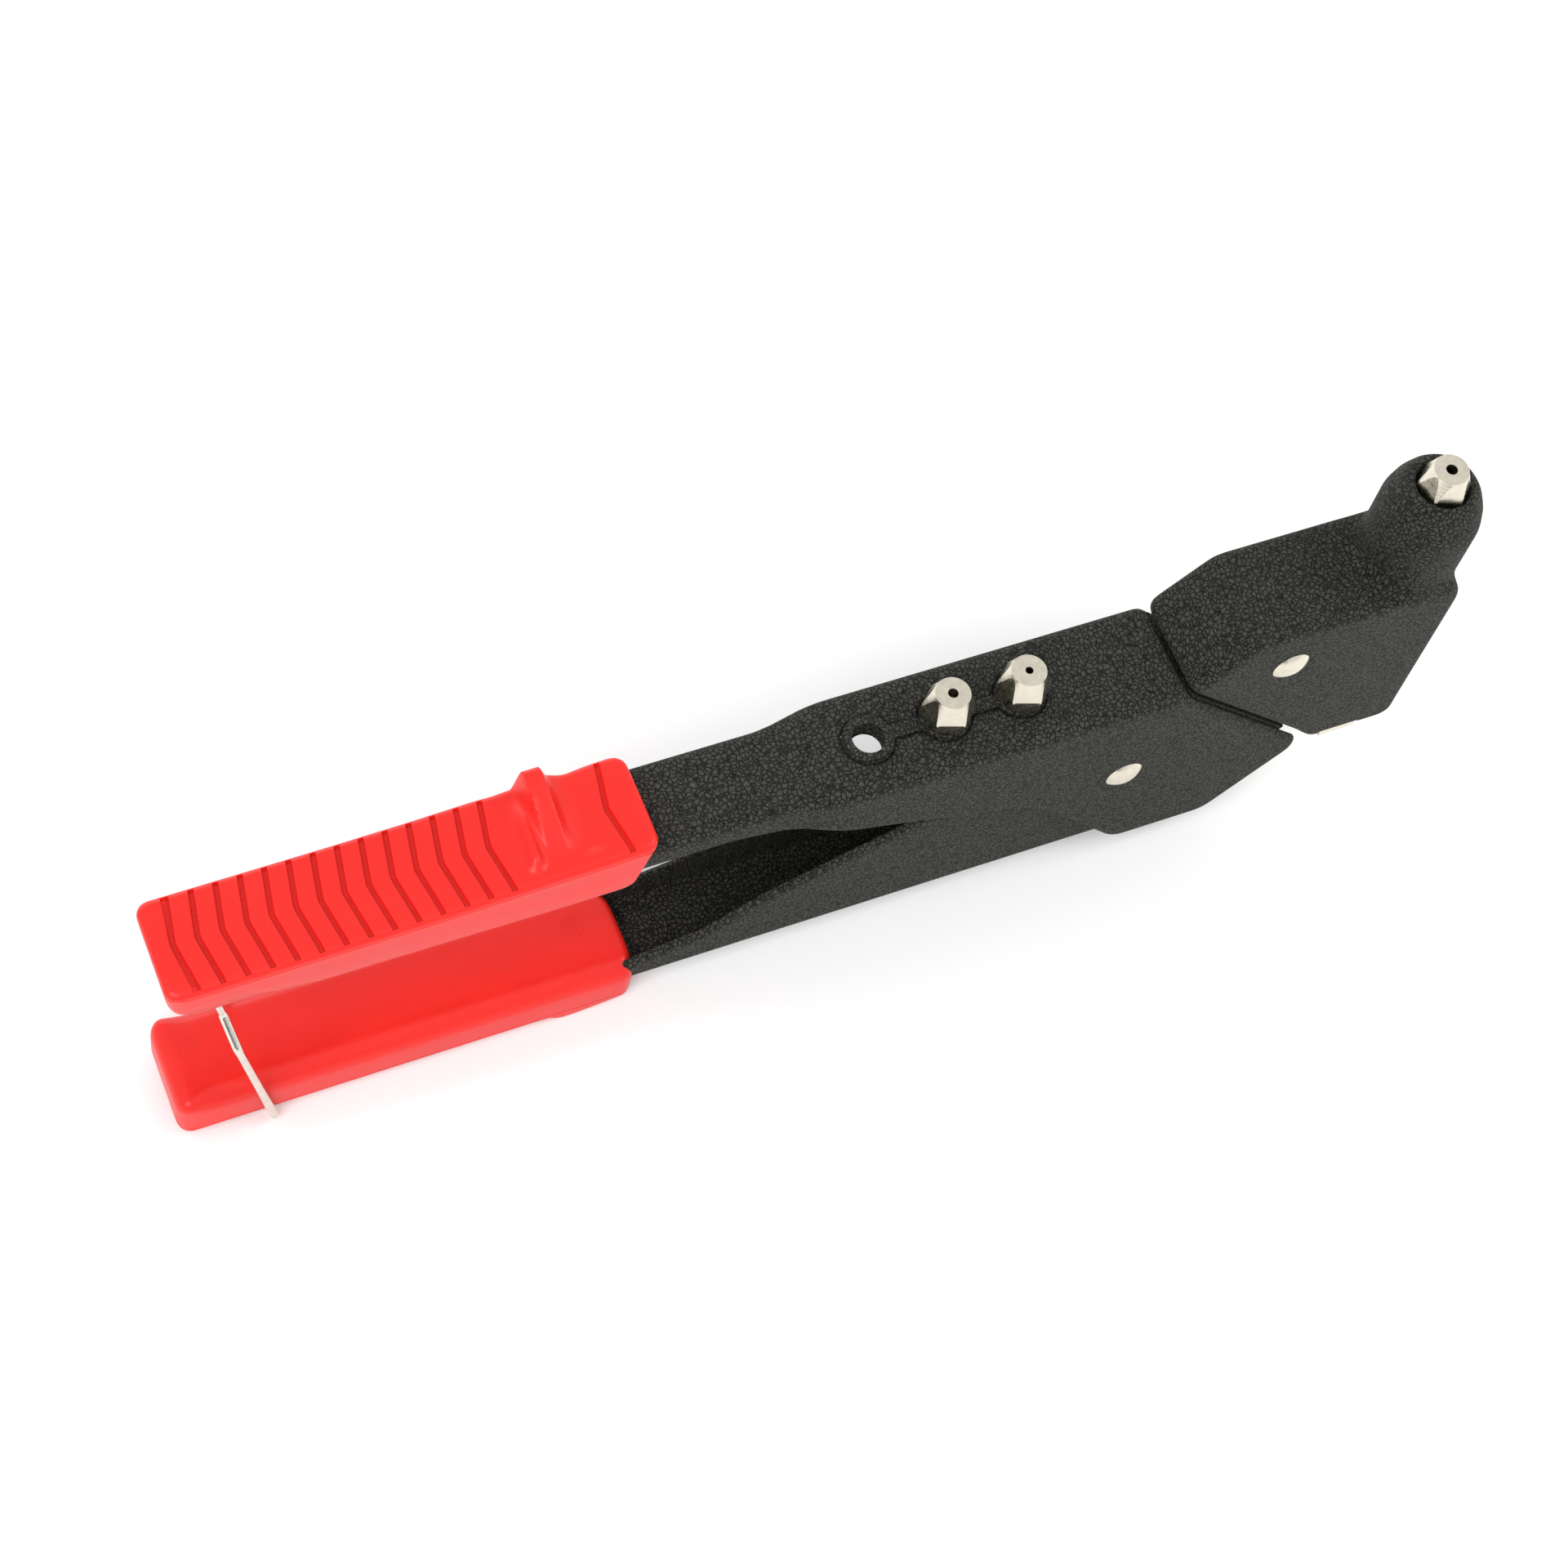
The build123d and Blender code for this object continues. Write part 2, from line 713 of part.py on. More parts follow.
def head_shell():
    """Cast head: hollow block with the barrel standing on its front end."""
    points, radii = head_side_points()
    block = plate(points, radii, -head_half_width, head_half_width)
    side_edges = block.edges().filter_by(lambda e: abs(abs(e.center().Y) - head_half_width) < 0.01)
    block = fillet(side_edges, head_edge_radius)
    barrel = [
        (0.0, head_top_level - 12.0),
        (barrel_radius, head_top_level - 12.0),
        (barrel_radius, barrel_straight_top),
        (barrel_radius - 0.8, barrel_straight_top + 3.7),
        (barrel_radius - 2.2, barrel_straight_top + 7.1),
        (barrel_rim_radius, barrel_rim_level),
        (0.0, barrel_rim_level),
    ]
    casting = block + turned(barrel, nose_axis_x)
    casting -= head_cavity()
    casting -= rod_z(nose_axis_x, barrel_bore_radius, -20.0, barrel_bore_top)
    casting -= rod_z(nose_axis_x, thread_radius, 0.0, barrel_rim_level + 5)
    sink_radius = hex_across_flats / sqrt(3) + sink_gap
    casting -= rod_z(nose_axis_x, sink_radius, barrel_rim_level - nose_sink, barrel_rim_level + 5)
    casting -= rod_z(nose_axis_x, plug_thread_radius, head_bottom_level - 1, plug_inner_level + 3)
    casting -= plug_plate(running_gap, head_half_width + 5.0, head_bottom_level - 1)
    casting -= rod_y(head_pin_x, head_pin_z, head_pin_radius, -20, 20)
    return casting


def head_rear_plate():
    """Closes the rear of the casting and turns on the swivel bush."""
    rear_top_z = (on_axis(seam_gap) - square_dir * (seam_length / 2)).Z
    margin_bottom = seam_length - (rear_top_z - cavity_floor()) * root2
    face = seam_plane(seam_gap) * seam_face(head_inner, shoulder_wall, margin_bottom, 0.5)
    disc = extrude(face, amount=plate_thickness)
    return disc - rod_on_axis(bush_outer_radius + pin_clearance, -1, seam_gap + plate_thickness + 1)


def plug_plate(grow, tab_reach, low):
    """The plug's plate with its two locating tabs, grown by a clearance."""
    top = head_bottom_level + plug_flange_thickness
    plan = Pos(nose_axis_x, 0) * Circle(plug_flange_radius + grow)
    tab = Rectangle(plug_tab_width + 2 * grow, 2 * tab_reach)
    plan += Pos(nose_axis_x - plug_tab_back, 0) * tab
    return extrude(plan, amount=top - low).moved(Location((0, 0, low)))


def rear_plug():
    """Tabbed plug under the head, where spent mandrels leave."""
    x = nose_axis_x
    plug = rod_z(x, plug_thread_radius - thread_clearance, head_bottom_level, plug_inner_level)
    plug += plug_plate(0.0, head_half_width - 0.2, head_bottom_level)
    plug -= rod_z(x, spring_mean_radius + spring_wire_radius + 0.5, plug_inner_level - 3.0, plug_inner_level + 1)
    return plug - rod_z(x, plug_bore_radius, head_bottom_level - 1, 0)


# ----------------------------------------------------------------- jaw train


def pad_low():
    """Lowest level of the head lever's pads with the handles closed."""
    return head_pin_z - nose_arm * sin(radians(lever_half_turn_deg)) - lever_pad_radius


def case_base():
    """Level of the underside of the wide part of the jaw case, handles closed."""
    return pad_low() + 2 * lever_pad_radius + 3.0


def jaw_case():
    """Coned sleeve that squeezes the jaws together as it is drawn back."""
    base = case_base()
    top = base + case_length
    mouth = jaw_top_radius + 0.1
    wide = case_radius - case_wall
    points = [
        (wide, base),
        (case_radius, base),
        (case_radius, top - 1.5),
        (case_radius - 1.5, top),
        (mouth, top),
        (mouth, top - 1.5),
        (wide, base + case_engagement + 2.2),
    ]
    return turned(points, nose_axis_x)


def case_connector():
    """Necked coupling screwed into the jaw case; the lever's pads draw its flange."""
    base = case_base()
    top = pad_low() - running_gap
    wide = case_radius - case_wall - thread_clearance
    points = [
        (neck_bore_radius, top - flange_thickness),
        (flange_radius, top - flange_thickness),
        (flange_radius, top),
        (neck_radius, top),
        (neck_radius, base - 1.0),
        (case_radius, base - 1.0),
        (case_radius, base),
        (wide, base),
        (wide, base + case_engagement),
        (neck_bore_radius, base + case_engagement),
    ]
    return turned(points, nose_axis_x)


def jaw(side):
    """One of the two half-cone jaws, toothed inside; side is -1 near and +1 far."""
    top = case_base() + case_length - 1.8
    low = top - jaw_length
    cone = [
        (0.0, low),
        (jaw_bottom_radius - 0.15, low),
        (jaw_top_radius - 0.25, top),
        (0.0, top),
    ]
    whole = turned(cone, nose_axis_x) - rod_z(nose_axis_x, jaw_bore_radius, low - 1, top + 1)
    keep_half = Box(40, 20, 80).moved(Location((nose_axis_x, side * (10 + jaw_split_gap / 2), low)))
    return whole & keep_half


def jaw_pusher():
    """Hollow plunger that holds the jaws up in the cone."""
    top = case_base() + case_length - 1.8 - jaw_length - 0.3
    low = pusher_low()
    points = [
        (pusher_bore_radius, low),
        (pusher_flange_radius, low),
        (pusher_flange_radius, low + 1.6),
        (pusher_radius, low + 1.6),
        (pusher_radius, top),
        (pusher_bore_radius, top),
    ]
    return turned(points, nose_axis_x)


def pusher_low():
    """Underside of the pusher's flange with the handles closed."""
    return pad_low() - running_gap - flange_thickness - 0.3 - 1.6 - 1.3


def jaw_spring():
    """Compression spring between the rear plug and the pusher."""
    seat = plug_inner_level - 3.0 + spring_wire_radius + 0.05
    height = pusher_low() - spring_wire_radius - 0.05 - seat
    path = Helix(height / spring_turns, height, spring_mean_radius)
    start = Plane(origin=path @ 0, z_dir=path % 0)
    coil = sweep(start * Circle(spring_wire_radius), path=path)
    return coil.moved(Location((nose_axis_x, 0, seat)))


# --------------------------------------------------------------------- grips


def upper_grip():
    """Moulded upper grip: ridged top, skirts over the channel and a latch boss."""
    points = [
        (0.0, upper_grip_top),
        (ridge_x - 11.0, upper_grip_top - 0.2),
        (ridge_x - 4.0, upper_grip_top + 0.2),
        (ridge_x - 1.5, ridge_height),
        (ridge_x + 2.0, ridge_height),
        (ridge_x + 6.0, upper_grip_top + 0.6),
        (grip_length - 8.0, upper_grip_front_top - 0.6),
        (grip_length, upper_grip_front_top),
        (grip_length - 3.6, -skirt_depth),
        (30.0, -skirt_depth),
        (19.0, -skirt_depth_rear),
        (0.0, -skirt_depth_rear),
    ]
    radii = [2.5, 8.0, 2.5, 1.6, 1.6, 4.0, 6.0, 2.0, 3.5, 5.0, 5.0, 2.5]
    block = plate(points, radii, -grip_half_width, grip_half_width)
    plan = RectangleRounded(grip_length + 0.02, 2 * grip_half_width, grip_corner_radius)
    plan_block = extrude(plan, amount=80.0).moved(Location((grip_length / 2, 0, -40.0)))
    grip = block & plan_block
    shell = body_outer()
    grip -= shell
    hollow = Box(grip_length + 10, 2 * (handle_half_width - 0.05), 60.0)
    grip -= hollow.moved(Location((grip_length / 2 + 13.0, 0, -30.0 - sheet)))
    for groove in chevrons():
        grip -= groove
    grip += axle_block()
    for side in (-1, 1):
        grip -= latch_slot(side)
    return grip - rod_y(axle_x, axle_z, wire_radius + pin_clearance, -20, 20)


def axle_block():
    """Block under the upper grip's rear end that holds the latch wire's axle."""
    lower_half = handle_half_width
    inner_half = wire_upper_y - wire_radius - running_gap
    low = -10.4
    points = [(3.0, -5.4), (16.5, -5.4), (16.5, low), (3.0, low)]
    base = plate(points, [0.2, 0.2, 3.5, 3.5], -lower_half, lower_half)
    core = Box(12.0, 2 * inner_half, 5.4 - sheet)
    core_z = -(5.4 + sheet) / 2
    block = base + core.moved(Location((axle_x, 0, core_z)))
    return block


def latch_slot(side):
    """Room for one leg of the wire to swing rearwards below its axle."""
    slot = Box(latch_slot_length, 2 * (wire_radius + running_gap), latch_slot_height)
    middle_x = axle_x + wire_radius + running_gap + 1.3 - latch_slot_length / 2
    middle_z = axle_z + 2.0 - latch_slot_height / 2
    return slot.moved(Location((middle_x, side * wire_upper_y, middle_z)))


def chevrons():
    """The grooves of the top face, as a list of V-shaped cutters."""
    cutters = []
    x = chevron_first_x
    while x < grip_length - chevron_stop_back:
        cutters.append(chevron(x, upper_grip_top))
        x += chevron_pitch
    cutters.append(chevron(grip_length - front_chevron_back, upper_grip_front_top - 0.4))
    return cutters


def chevron(apex_x, level):
    """One V-shaped groove across the top, its point towards the rear."""
    half = grip_half_width - 1.0
    width = chevron_width
    outline = Polyline(
        (apex_x, 0),
        (apex_x + chevron_sweep, half),
        (apex_x + chevron_sweep + width, half),
        (apex_x + width, 0),
        (apex_x + chevron_sweep + width, -half),
        (apex_x + chevron_sweep, -half),
        close=True,
    )
    face = make_face(outline)
    return extrude(face, amount=10.0).moved(Location((0, 0, level - 0.2 - chevron_depth)))


def lower_grip():
    """Moulded lower grip, closed over the channel, with a small finger guard below."""
    points = [
        (1.0, lower_grip_top),
        (grip_length - 3.0, lower_grip_top),
        (grip_length + 1.0, lower_grip_top - 5.0),
        (grip_length + 1.0, lower_grip_bottom + 1.0),
        (grip_length - 2.0, lower_grip_bottom - 0.6),
        (guard_x + 2.0, foot_level),
        (guard_x, foot_level),
        (guard_x - 4.0, lower_grip_bottom - 0.4),
        (1.0, lower_grip_bottom),
    ]
    radii = [4.5, 3.0, 2.0, 2.0, 3.0, 1.0, 1.0, 3.0, 2.0]
    block = plate(points, radii, -grip_half_width, grip_half_width)
    plan = RectangleRounded(grip_length + 0.02, 2 * grip_half_width, grip_corner_radius)
    plan_block = extrude(plan, amount=80.0).moved(Location((grip_length / 2 + 1.0, 0, -100.0)))
    grip = block & plan_block
    section_points = [
        (-grip_half_width, lower_grip_top),
        (grip_half_width, lower_grip_top),
        (grip_half_width, lower_grip_bottom + 1.5),
        (grip_half_width - 4.0, foot_level - 0.5),
        (-grip_half_width + 4.0, foot_level - 0.5),
        (-grip_half_width, lower_grip_bottom + 1.5),
    ]
    section = Plane.YZ * make_face(FilletPolyline(*section_points, radius=[4.0, 4.0, 3, 2, 2, 3], close=True))
    grip = grip & extrude(section, amount=grip_length + 20.0).moved(Location((-5.0, 0, 0)))
    return grip - lower_handle()


# --------------------------------------------------------------- latch wire


def latch_wire():
    """Wire bail: a cross axle in the upper grip and two cranked legs."""
    slant = tan(radians(wire_slant_deg))

    def leg_point(y, z):
        return (axle_x + (axle_z - z) * slant, y, z)

    half = [
        (axle_x, 0.0, axle_z),
        (axle_x, -wire_upper_y, axle_z),
        leg_point(-wire_upper_y, wire_jog_top_z),
        leg_point(-wire_lower_y, wire_jog_bottom_z),
        leg_point(-wire_lower_y, wire_foot_z),
    ]
    path = FilletPolyline(*half, radius=[1.2, 2.2, 2.2])
    start = Plane(origin=path @ 0, z_dir=path % 0)
    leg = sweep(start * Circle(wire_radius), path=path)
    tip = Sphere(wire_radius).moved(Location(half[-1]))
    leg += tip
    return leg + mirror(leg, Plane.XZ)


def build():
    """Make every piece once, in the drawing's frame."""
    keep("body_shell", body_shell())
    keep("swivel_plate", swivel_plate())
    keep("swivel_bush", swivel_bush())
    keep("swivel_clip", swivel_clip())
    keep("wave_washer", wave_washer())
    keep("main_pivot_rivet", rivet(main_pin_x, main_pin_z, main_pin_radius, body_half_width))
    keep("pivot_washers", pivot_washers())
    keep("nosepiece_store", nosepiece_store())
    for i, name in enumerate(("stored_nosepiece_rear", "stored_nosepiece_front")):
        x = store_first_x + (i + 1) * store_pitch
        keep(name, nosepiece(x, boss_rise, mandrel_bores[name], False))
    keep("upper_grip", upper_grip())
    keep("latch_wire", latch_wire())
    keep("lower_handle", lower_handle())
    keep("lower_grip", lower_grip())
    keep("pull_fork", pull_fork())
    keep("fork_rivet", fork_rivet())
    keep("pull_rod", pull_rod())
    keep("rod_cross_pin", rod_cross_pin())
    keep("head_lever", head_lever())
    keep("lever_washers", lever_washers())
    keep("head_shell", head_shell())
    keep("head_rear_plate", head_rear_plate())
    keep("head_pin_rivet", rivet(head_pin_x, head_pin_z, head_pin_radius, head_half_width))
    seat = barrel_rim_level - nose_sink
    keep("nosepiece", nosepiece(nose_axis_x, seat, mandrel_bores["nosepiece"], True))
    keep("rear_plug", rear_plug())
    keep("jaw_case", jaw_case())
    keep("case_connector", case_connector())
    keep("jaw_near", jaw(-1))
    keep("jaw_far", jaw(1))
    keep("jaw_pusher", jaw_pusher())
    keep("jaw_spring", jaw_spring())


if __name__ == "__main__":
    os.makedirs("parts", exist_ok=True)
    build()
    for name, shape in pieces.items():
        export_step(to_frame(shape), f"parts/{name}.step")
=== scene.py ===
"""Looks for the swivel-head hand riveter: coated shells, moulded grips, bright metal and a studio.

Sizes of the moulded pieces are in millimetres on the tool's own drawing, whose zero is the rear
end of the upper grip at the level of the body's top face. place() turns them into metres in the
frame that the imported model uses.
"""

import math

import bmesh
import bpy
import numpy as np
from bpy.props import (
    FloatProperty,
    FloatVectorProperty,
    IntProperty,
    PointerProperty,
)
from mathutils import Matrix, Vector


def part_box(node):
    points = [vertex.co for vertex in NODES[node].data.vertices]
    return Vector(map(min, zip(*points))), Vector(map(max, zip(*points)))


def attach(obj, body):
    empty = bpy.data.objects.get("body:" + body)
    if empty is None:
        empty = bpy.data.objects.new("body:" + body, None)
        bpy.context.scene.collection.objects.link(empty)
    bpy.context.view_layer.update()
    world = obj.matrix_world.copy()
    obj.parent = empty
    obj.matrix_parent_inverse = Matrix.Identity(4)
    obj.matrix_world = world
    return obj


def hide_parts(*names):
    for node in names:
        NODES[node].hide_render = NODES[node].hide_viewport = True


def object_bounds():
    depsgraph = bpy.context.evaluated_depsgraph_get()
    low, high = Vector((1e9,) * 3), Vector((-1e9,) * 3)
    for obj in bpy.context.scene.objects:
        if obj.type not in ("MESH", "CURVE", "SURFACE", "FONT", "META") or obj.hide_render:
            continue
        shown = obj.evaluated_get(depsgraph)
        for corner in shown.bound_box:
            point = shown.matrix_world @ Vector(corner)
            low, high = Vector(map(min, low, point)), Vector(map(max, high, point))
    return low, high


bl_info = {
    "name": "Hand riveter looks",
    "version": (1, 0, 0),
    "blender": (4, 5, 0),
    "location": "3D View > Sidebar > Riveter",
    "description": "Builds the finish, the moulded grips and the studio of a hand riveter",
    "category": "Object",
}

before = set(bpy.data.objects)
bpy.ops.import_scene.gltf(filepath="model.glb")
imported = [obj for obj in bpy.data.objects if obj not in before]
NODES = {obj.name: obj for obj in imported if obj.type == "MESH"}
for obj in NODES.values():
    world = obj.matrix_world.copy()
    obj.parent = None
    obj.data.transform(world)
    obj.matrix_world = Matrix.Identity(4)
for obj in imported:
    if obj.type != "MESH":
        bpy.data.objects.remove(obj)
CAD_LOW, CAD_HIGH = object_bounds()
MM = 0.001
FACE_LIMIT = 180000
ORIGIN_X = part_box("upper_grip")[0].x
BODY_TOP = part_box("body_shell")[1].z
BARREL_X = sum(corner.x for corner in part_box("nosepiece")) / 2 / MM - ORIGIN_X / MM
HEAD_TOP = 14.0
BARREL_RADIUS = 11.0


# ---------------------------------------------------------------- sizes and colours


class RIVETER_PG_grips(bpy.types.PropertyGroup):
    """Sizes of the two moulded grips."""

    length: FloatProperty(
        name="Upper grip length",
        description="Length of the upper grip, in millimetres",
        default=101.2,
    )
    half_width: FloatProperty(
        name="Half width",
        description="Half the width of both grips, in millimetres",
        default=11.15,
    )
    groove_count: IntProperty(
        name="Grooves",
        description="Number of V grooves behind the thumb ridge",
        default=14,
    )
    groove_first: FloatProperty(
        name="First groove",
        description="Distance of the first groove's point from the rear end, in millimetres",
        default=4.05,
    )
    groove_pitch: FloatProperty(
        name="Groove pitch",
        description="Distance from one groove to the next, in millimetres",
        default=4.9,
    )
    groove_width: FloatProperty(
        name="Groove width",
        description="Width of a groove, in millimetres",
        default=1.25,
    )
    groove_depth: FloatProperty(
        name="Groove depth",
        description="Depth of a groove, in millimetres",
        default=0.65,
    )
    groove_sweep: FloatProperty(
        name="Groove sweep",
        description="How far a groove's ends lie in front of its point, in millimetres",
        default=2.0,
    )
    ridge_height: FloatProperty(
        name="Thumb ridge height",
        description="Height of the thumb ridge at its far end, in millimetres",
        default=6.4,
    )


class RIVETER_PG_finish(bpy.types.PropertyGroup):
    """Colours and textures of the finishes."""

    coat: FloatVectorProperty(
        name="Coating",
        description="Colour of the textured black coating",
        subtype="COLOR",
        default=(0.021, 0.021, 0.017),
    )
    plastic: FloatVectorProperty(
        name="Grip plastic",
        description="Colour of the moulded grips",
        subtype="COLOR",
        default=(0.72, 0.013, 0.008),
    )
    nickel: FloatVectorProperty(
        name="Nickel",
        description="Colour of the plated nosepieces and rivets",
        subtype="COLOR",
        default=(0.72, 0.67, 0.56),
    )
    wire: FloatVectorProperty(
        name="Wire",
        description="Colour of the latch wire",
        subtype="COLOR",
        default=(0.70, 0.67, 0.60),
    )
    grain_size: FloatProperty(
        name="Grain size",
        description="Width of one cell of the coating's leather grain, in millimetres",
        default=1.05,
    )
    grain_depth: FloatProperty(
        name="Grain depth",
        description="Depth of the coating's grain, in millimetres",
        default=0.42,
    )


class RIVETER_PG_stage(bpy.types.PropertyGroup):
    """The camera and the studio."""

    azimuth: FloatProperty(
        name="Azimuth",
        description="Direction of the camera round the tool, in degrees",
        default=-36.95,
    )
    elevation: FloatProperty(
        name="Elevation",
        description="Height of the camera above the horizon, in degrees",
        default=60.50,
    )
    roll: FloatProperty(
        name="Roll",
        description="Tilt of the camera about its own line of sight, in degrees",
        default=16.36,
    )
    distance: FloatProperty(
        name="Distance",
        description="Distance from the camera to the tool's middle",
        default=0.6674,
        unit="LENGTH",
    )
    aim_right: FloatProperty(
        name="Aim right",
        description="How far right of the picture's middle the tool's middle sits",
        default=0.0079,
        unit="LENGTH",
    )
    aim_up: FloatProperty(
        name="Aim up",
        description="How far above the picture's middle the tool's middle sits",
        default=0.0009,
        unit="LENGTH",
    )
    lens: FloatProperty(
        name="Lens",
        description="Focal length on a 36 mm wide sensor, in millimetres",
        default=74.17,
    )
    sky: FloatProperty(
        name="Sky",
        description="Strength of the white surroundings",
        default=0.90,
    )


# ---------------------------------------------------------------- node helpers


class Finish:
    """A material with one Principled shader, and short calls that wire nodes to it."""

    def __init__(self, name, colour, metallic=0.0, roughness=0.5):
        self.material = bpy.data.materials.new(name)
        self.material.use_nodes = True
        self.tree = self.material.node_tree
        self.shader = self.tree.nodes["Principled BSDF"]
        self.shader.inputs["Base Color"].default_value = (*colour, 1.0)
        self.shader.inputs["Metallic"].default_value = metallic
        self.shader.inputs["Roughness"].default_value = roughness
        self.coords = self.tree.nodes.new("ShaderNodeTexCoord").outputs["Object"]

    def node(self, kind, **values):
        made = self.tree.nodes.new(kind)
        for key, value in values.items():
            setattr(made, key, value)
        return made

    def link(self, output, socket):
        self.tree.links.new(output, socket)

    def stretched(self, scale):
        """The object's coordinates, stretched by scale."""
        mapping = self.node("ShaderNodeMapping")
        mapping.inputs["Scale"].default_value = scale
        self.link(self.coords, mapping.inputs["Vector"])
        return mapping.outputs["Vector"]

    def noise(self, scale, detail=2.0, roughness=0.5, vector=None):
        made = self.node("ShaderNodeTexNoise")
        made.inputs["Scale"].default_value = scale
        made.inputs["Detail"].default_value = detail
        made.inputs["Roughness"].default_value = roughness
        self.link(vector or self.coords, made.inputs["Vector"])
        return made.outputs["Fac"]

    def warped(self, scale, amount):
        """The object's coordinates, pushed about by a soft noise."""
        made = self.node("ShaderNodeTexNoise")
        made.inputs["Scale"].default_value = scale
        made.inputs["Detail"].default_value = 2.0
        self.link(self.coords, made.inputs["Vector"])
        centred = self.node("ShaderNodeVectorMath", operation="SUBTRACT")
        self.link(made.outputs["Color"], centred.inputs[0])
        centred.inputs[1].default_value = (0.5, 0.5, 0.5)
        scaled = self.node("ShaderNodeVectorMath", operation="SCALE")
        self.link(centred.outputs["Vector"], scaled.inputs[0])
        scaled.inputs["Scale"].default_value = amount
        added = self.node("ShaderNodeVectorMath", operation="ADD")
        self.link(self.coords, added.inputs[0])
        self.link(scaled.outputs["Vector"], added.inputs[1])
        return added.outputs["Vector"]

    def cells(self, scale, vector, feature="DISTANCE_TO_EDGE"):
        made = self.node("ShaderNodeTexVoronoi", feature=feature)
        made.inputs["Scale"].default_value = scale
        self.link(vector, made.inputs["Vector"])
        return made.outputs["Distance"]

    def math(self, operation, first, second):
        made = self.node("ShaderNodeMath", operation=operation)
        for socket, value in zip(made.inputs, (first, second)):
            if isinstance(value, (int, float)):
                socket.default_value = value
            else:
                self.link(value, socket)
        return made.outputs["Value"]

    def ramp(self, factor, low, high, start=0.0, end=1.0):
        """factor from start to end, turned into low to high."""
        made = self.node("ShaderNodeMapRange")
        self.link(factor, made.inputs["Value"])
        for key, value in (
            ("From Min", start),
            ("From Max", end),
            ("To Min", low),
            ("To Max", high),
        ):
            made.inputs[key].default_value = value
        return made.outputs["Result"]

    def tint(self, factor, low, high):
        """A colour between low and high by factor."""
        made = self.node("ShaderNodeMix", data_type="RGBA")
        self.link(factor, made.inputs["Factor"])
        made.inputs["A"].default_value = (*low, 1.0)
        made.inputs["B"].default_value = (*high, 1.0)
        return made.outputs["Result"]

    def colour(self, output):
        self.link(output, self.shader.inputs["Base Color"])

    def roughness(self, output):
        self.link(output, self.shader.inputs["Roughness"])

    def bump(self, height, distance, strength=1.0):
        """Adds a bump under any bump that is there already."""
        made = self.node("ShaderNodeBump")
        made.inputs["Distance"].default_value = distance
        made.inputs["Strength"].default_value = strength
        self.link(height, made.inputs["Height"])
        socket = self.shader.inputs["Normal"]
        if socket.is_linked:
            self.link(socket.links[0].from_socket, made.inputs["Normal"])
        self.link(made.outputs["Normal"], socket)


def shade(colour, factor):
    return tuple(min(1.0, c * factor) for c in colour)


def textured_coat(finish):
    """Black powder coating with a leather grain: rounded cells, fine creases between them. Its colour is
    darker in the creases as painted shade and lighter on the cells as painted light, over a faint random
    tone.
    """
    base = tuple(finish.coat)
    made = Finish("textured_black_coat", base, roughness=0.5)
    made.shader.inputs["Specular IOR Level"].default_value = 0.2
    scale = 1.0 / (finish.grain_size * MM)
    warped = made.warped(scale * 0.6, 0.9 * finish.grain_size * MM)
    edge = made.ramp(made.cells(scale, warped), 0.0, 1.0, 0.0, 0.22)
    small = made.ramp(made.cells(scale * 2.1, warped), 0.0, 1.0, 0.0, 0.30)
    fine = made.noise(scale * 3.5, 3.0, 0.65)
    swell = made.noise(scale * 0.4, 2.0, 0.5)
    grain_and_crease_shade = made.math("ADD", made.math("MULTIPLY", edge, 0.55), made.math("MULTIPLY", small, 0.35))
    grain_and_crease_shade = made.math("ADD", grain_and_crease_shade, made.math("MULTIPLY", fine, 0.35))
    relief = made.math("ADD", grain_and_crease_shade, made.math("MULTIPLY", swell, 0.5))
    made.bump(relief, finish.grain_depth * MM)
    # Colour from near black to a lighter tone: painted shade in the creases, painted light on the cell
    # tops, over a faint random tone.
    made.colour(made.tint(made.ramp(grain_and_crease_shade, 0.0, 1.0, 0.35, 1.15), shade(base, 0.06), shade(base, 3.9)))
    made.roughness(made.ramp(fine, 0.55, 0.8, 0.3, 0.7))
    return made.material


def satin_plastic(finish):
    """Moulded red plastic: satin face, faint flow marks and a very fine mould texture."""
    base = tuple(finish.plastic)
    made = Finish("satin_red_plastic", base, roughness=0.36)
    made.shader.inputs["Specular IOR Level"].default_value = 0.36
    made.shader.inputs["Subsurface Weight"].default_value = 0.05
    made.shader.inputs["Subsurface Radius"].default_value = (0.9, 0.12, 0.08)
    made.shader.inputs["Subsurface Scale"].default_value = 0.0015
    flow = made.noise(90.0, 3.0, 0.55, made.stretched((0.35, 1.0, 1.0)))
    made.colour(made.tint(made.ramp(flow, 0.0, 1.0, 0.3, 0.7), shade(base, 0.93), shade(base, 1.04)))
    fine = made.noise(5200.0, 2.0, 0.5)
    made.roughness(made.ramp(flow, 0.33, 0.42, 0.3, 0.7))
    made.bump(fine, 0.00003, 0.5)
    made.bump(made.noise(260.0, 2.0, 0.5), 0.00008, 0.5)
    return made.material


def groove_plastic(finish):
    """The same plastic on the floors of the grooves: rougher, and a little darker, partly the rough
    floor's own tone and partly painted shade in the recess.
    """
    # Darker base: partly the rough floor's own tone, partly painted shade in the recess.
    base = shade(tuple(finish.plastic), 0.78)
    made = Finish("red_groove_floor", base, roughness=0.6)
    made.shader.inputs["Specular IOR Level"].default_value = 0.25
    grit = made.noise(2400.0, 3.0, 0.6)
    made.colour(made.tint(made.ramp(grit, 0.0, 1.0, 0.35, 0.65), shade(base, 0.85), shade(base, 1.1)))
    made.roughness(made.ramp(grit, 0.5, 0.7, 0.3, 0.7))
    made.bump(grit, 0.00008, 0.7)
    return made.material


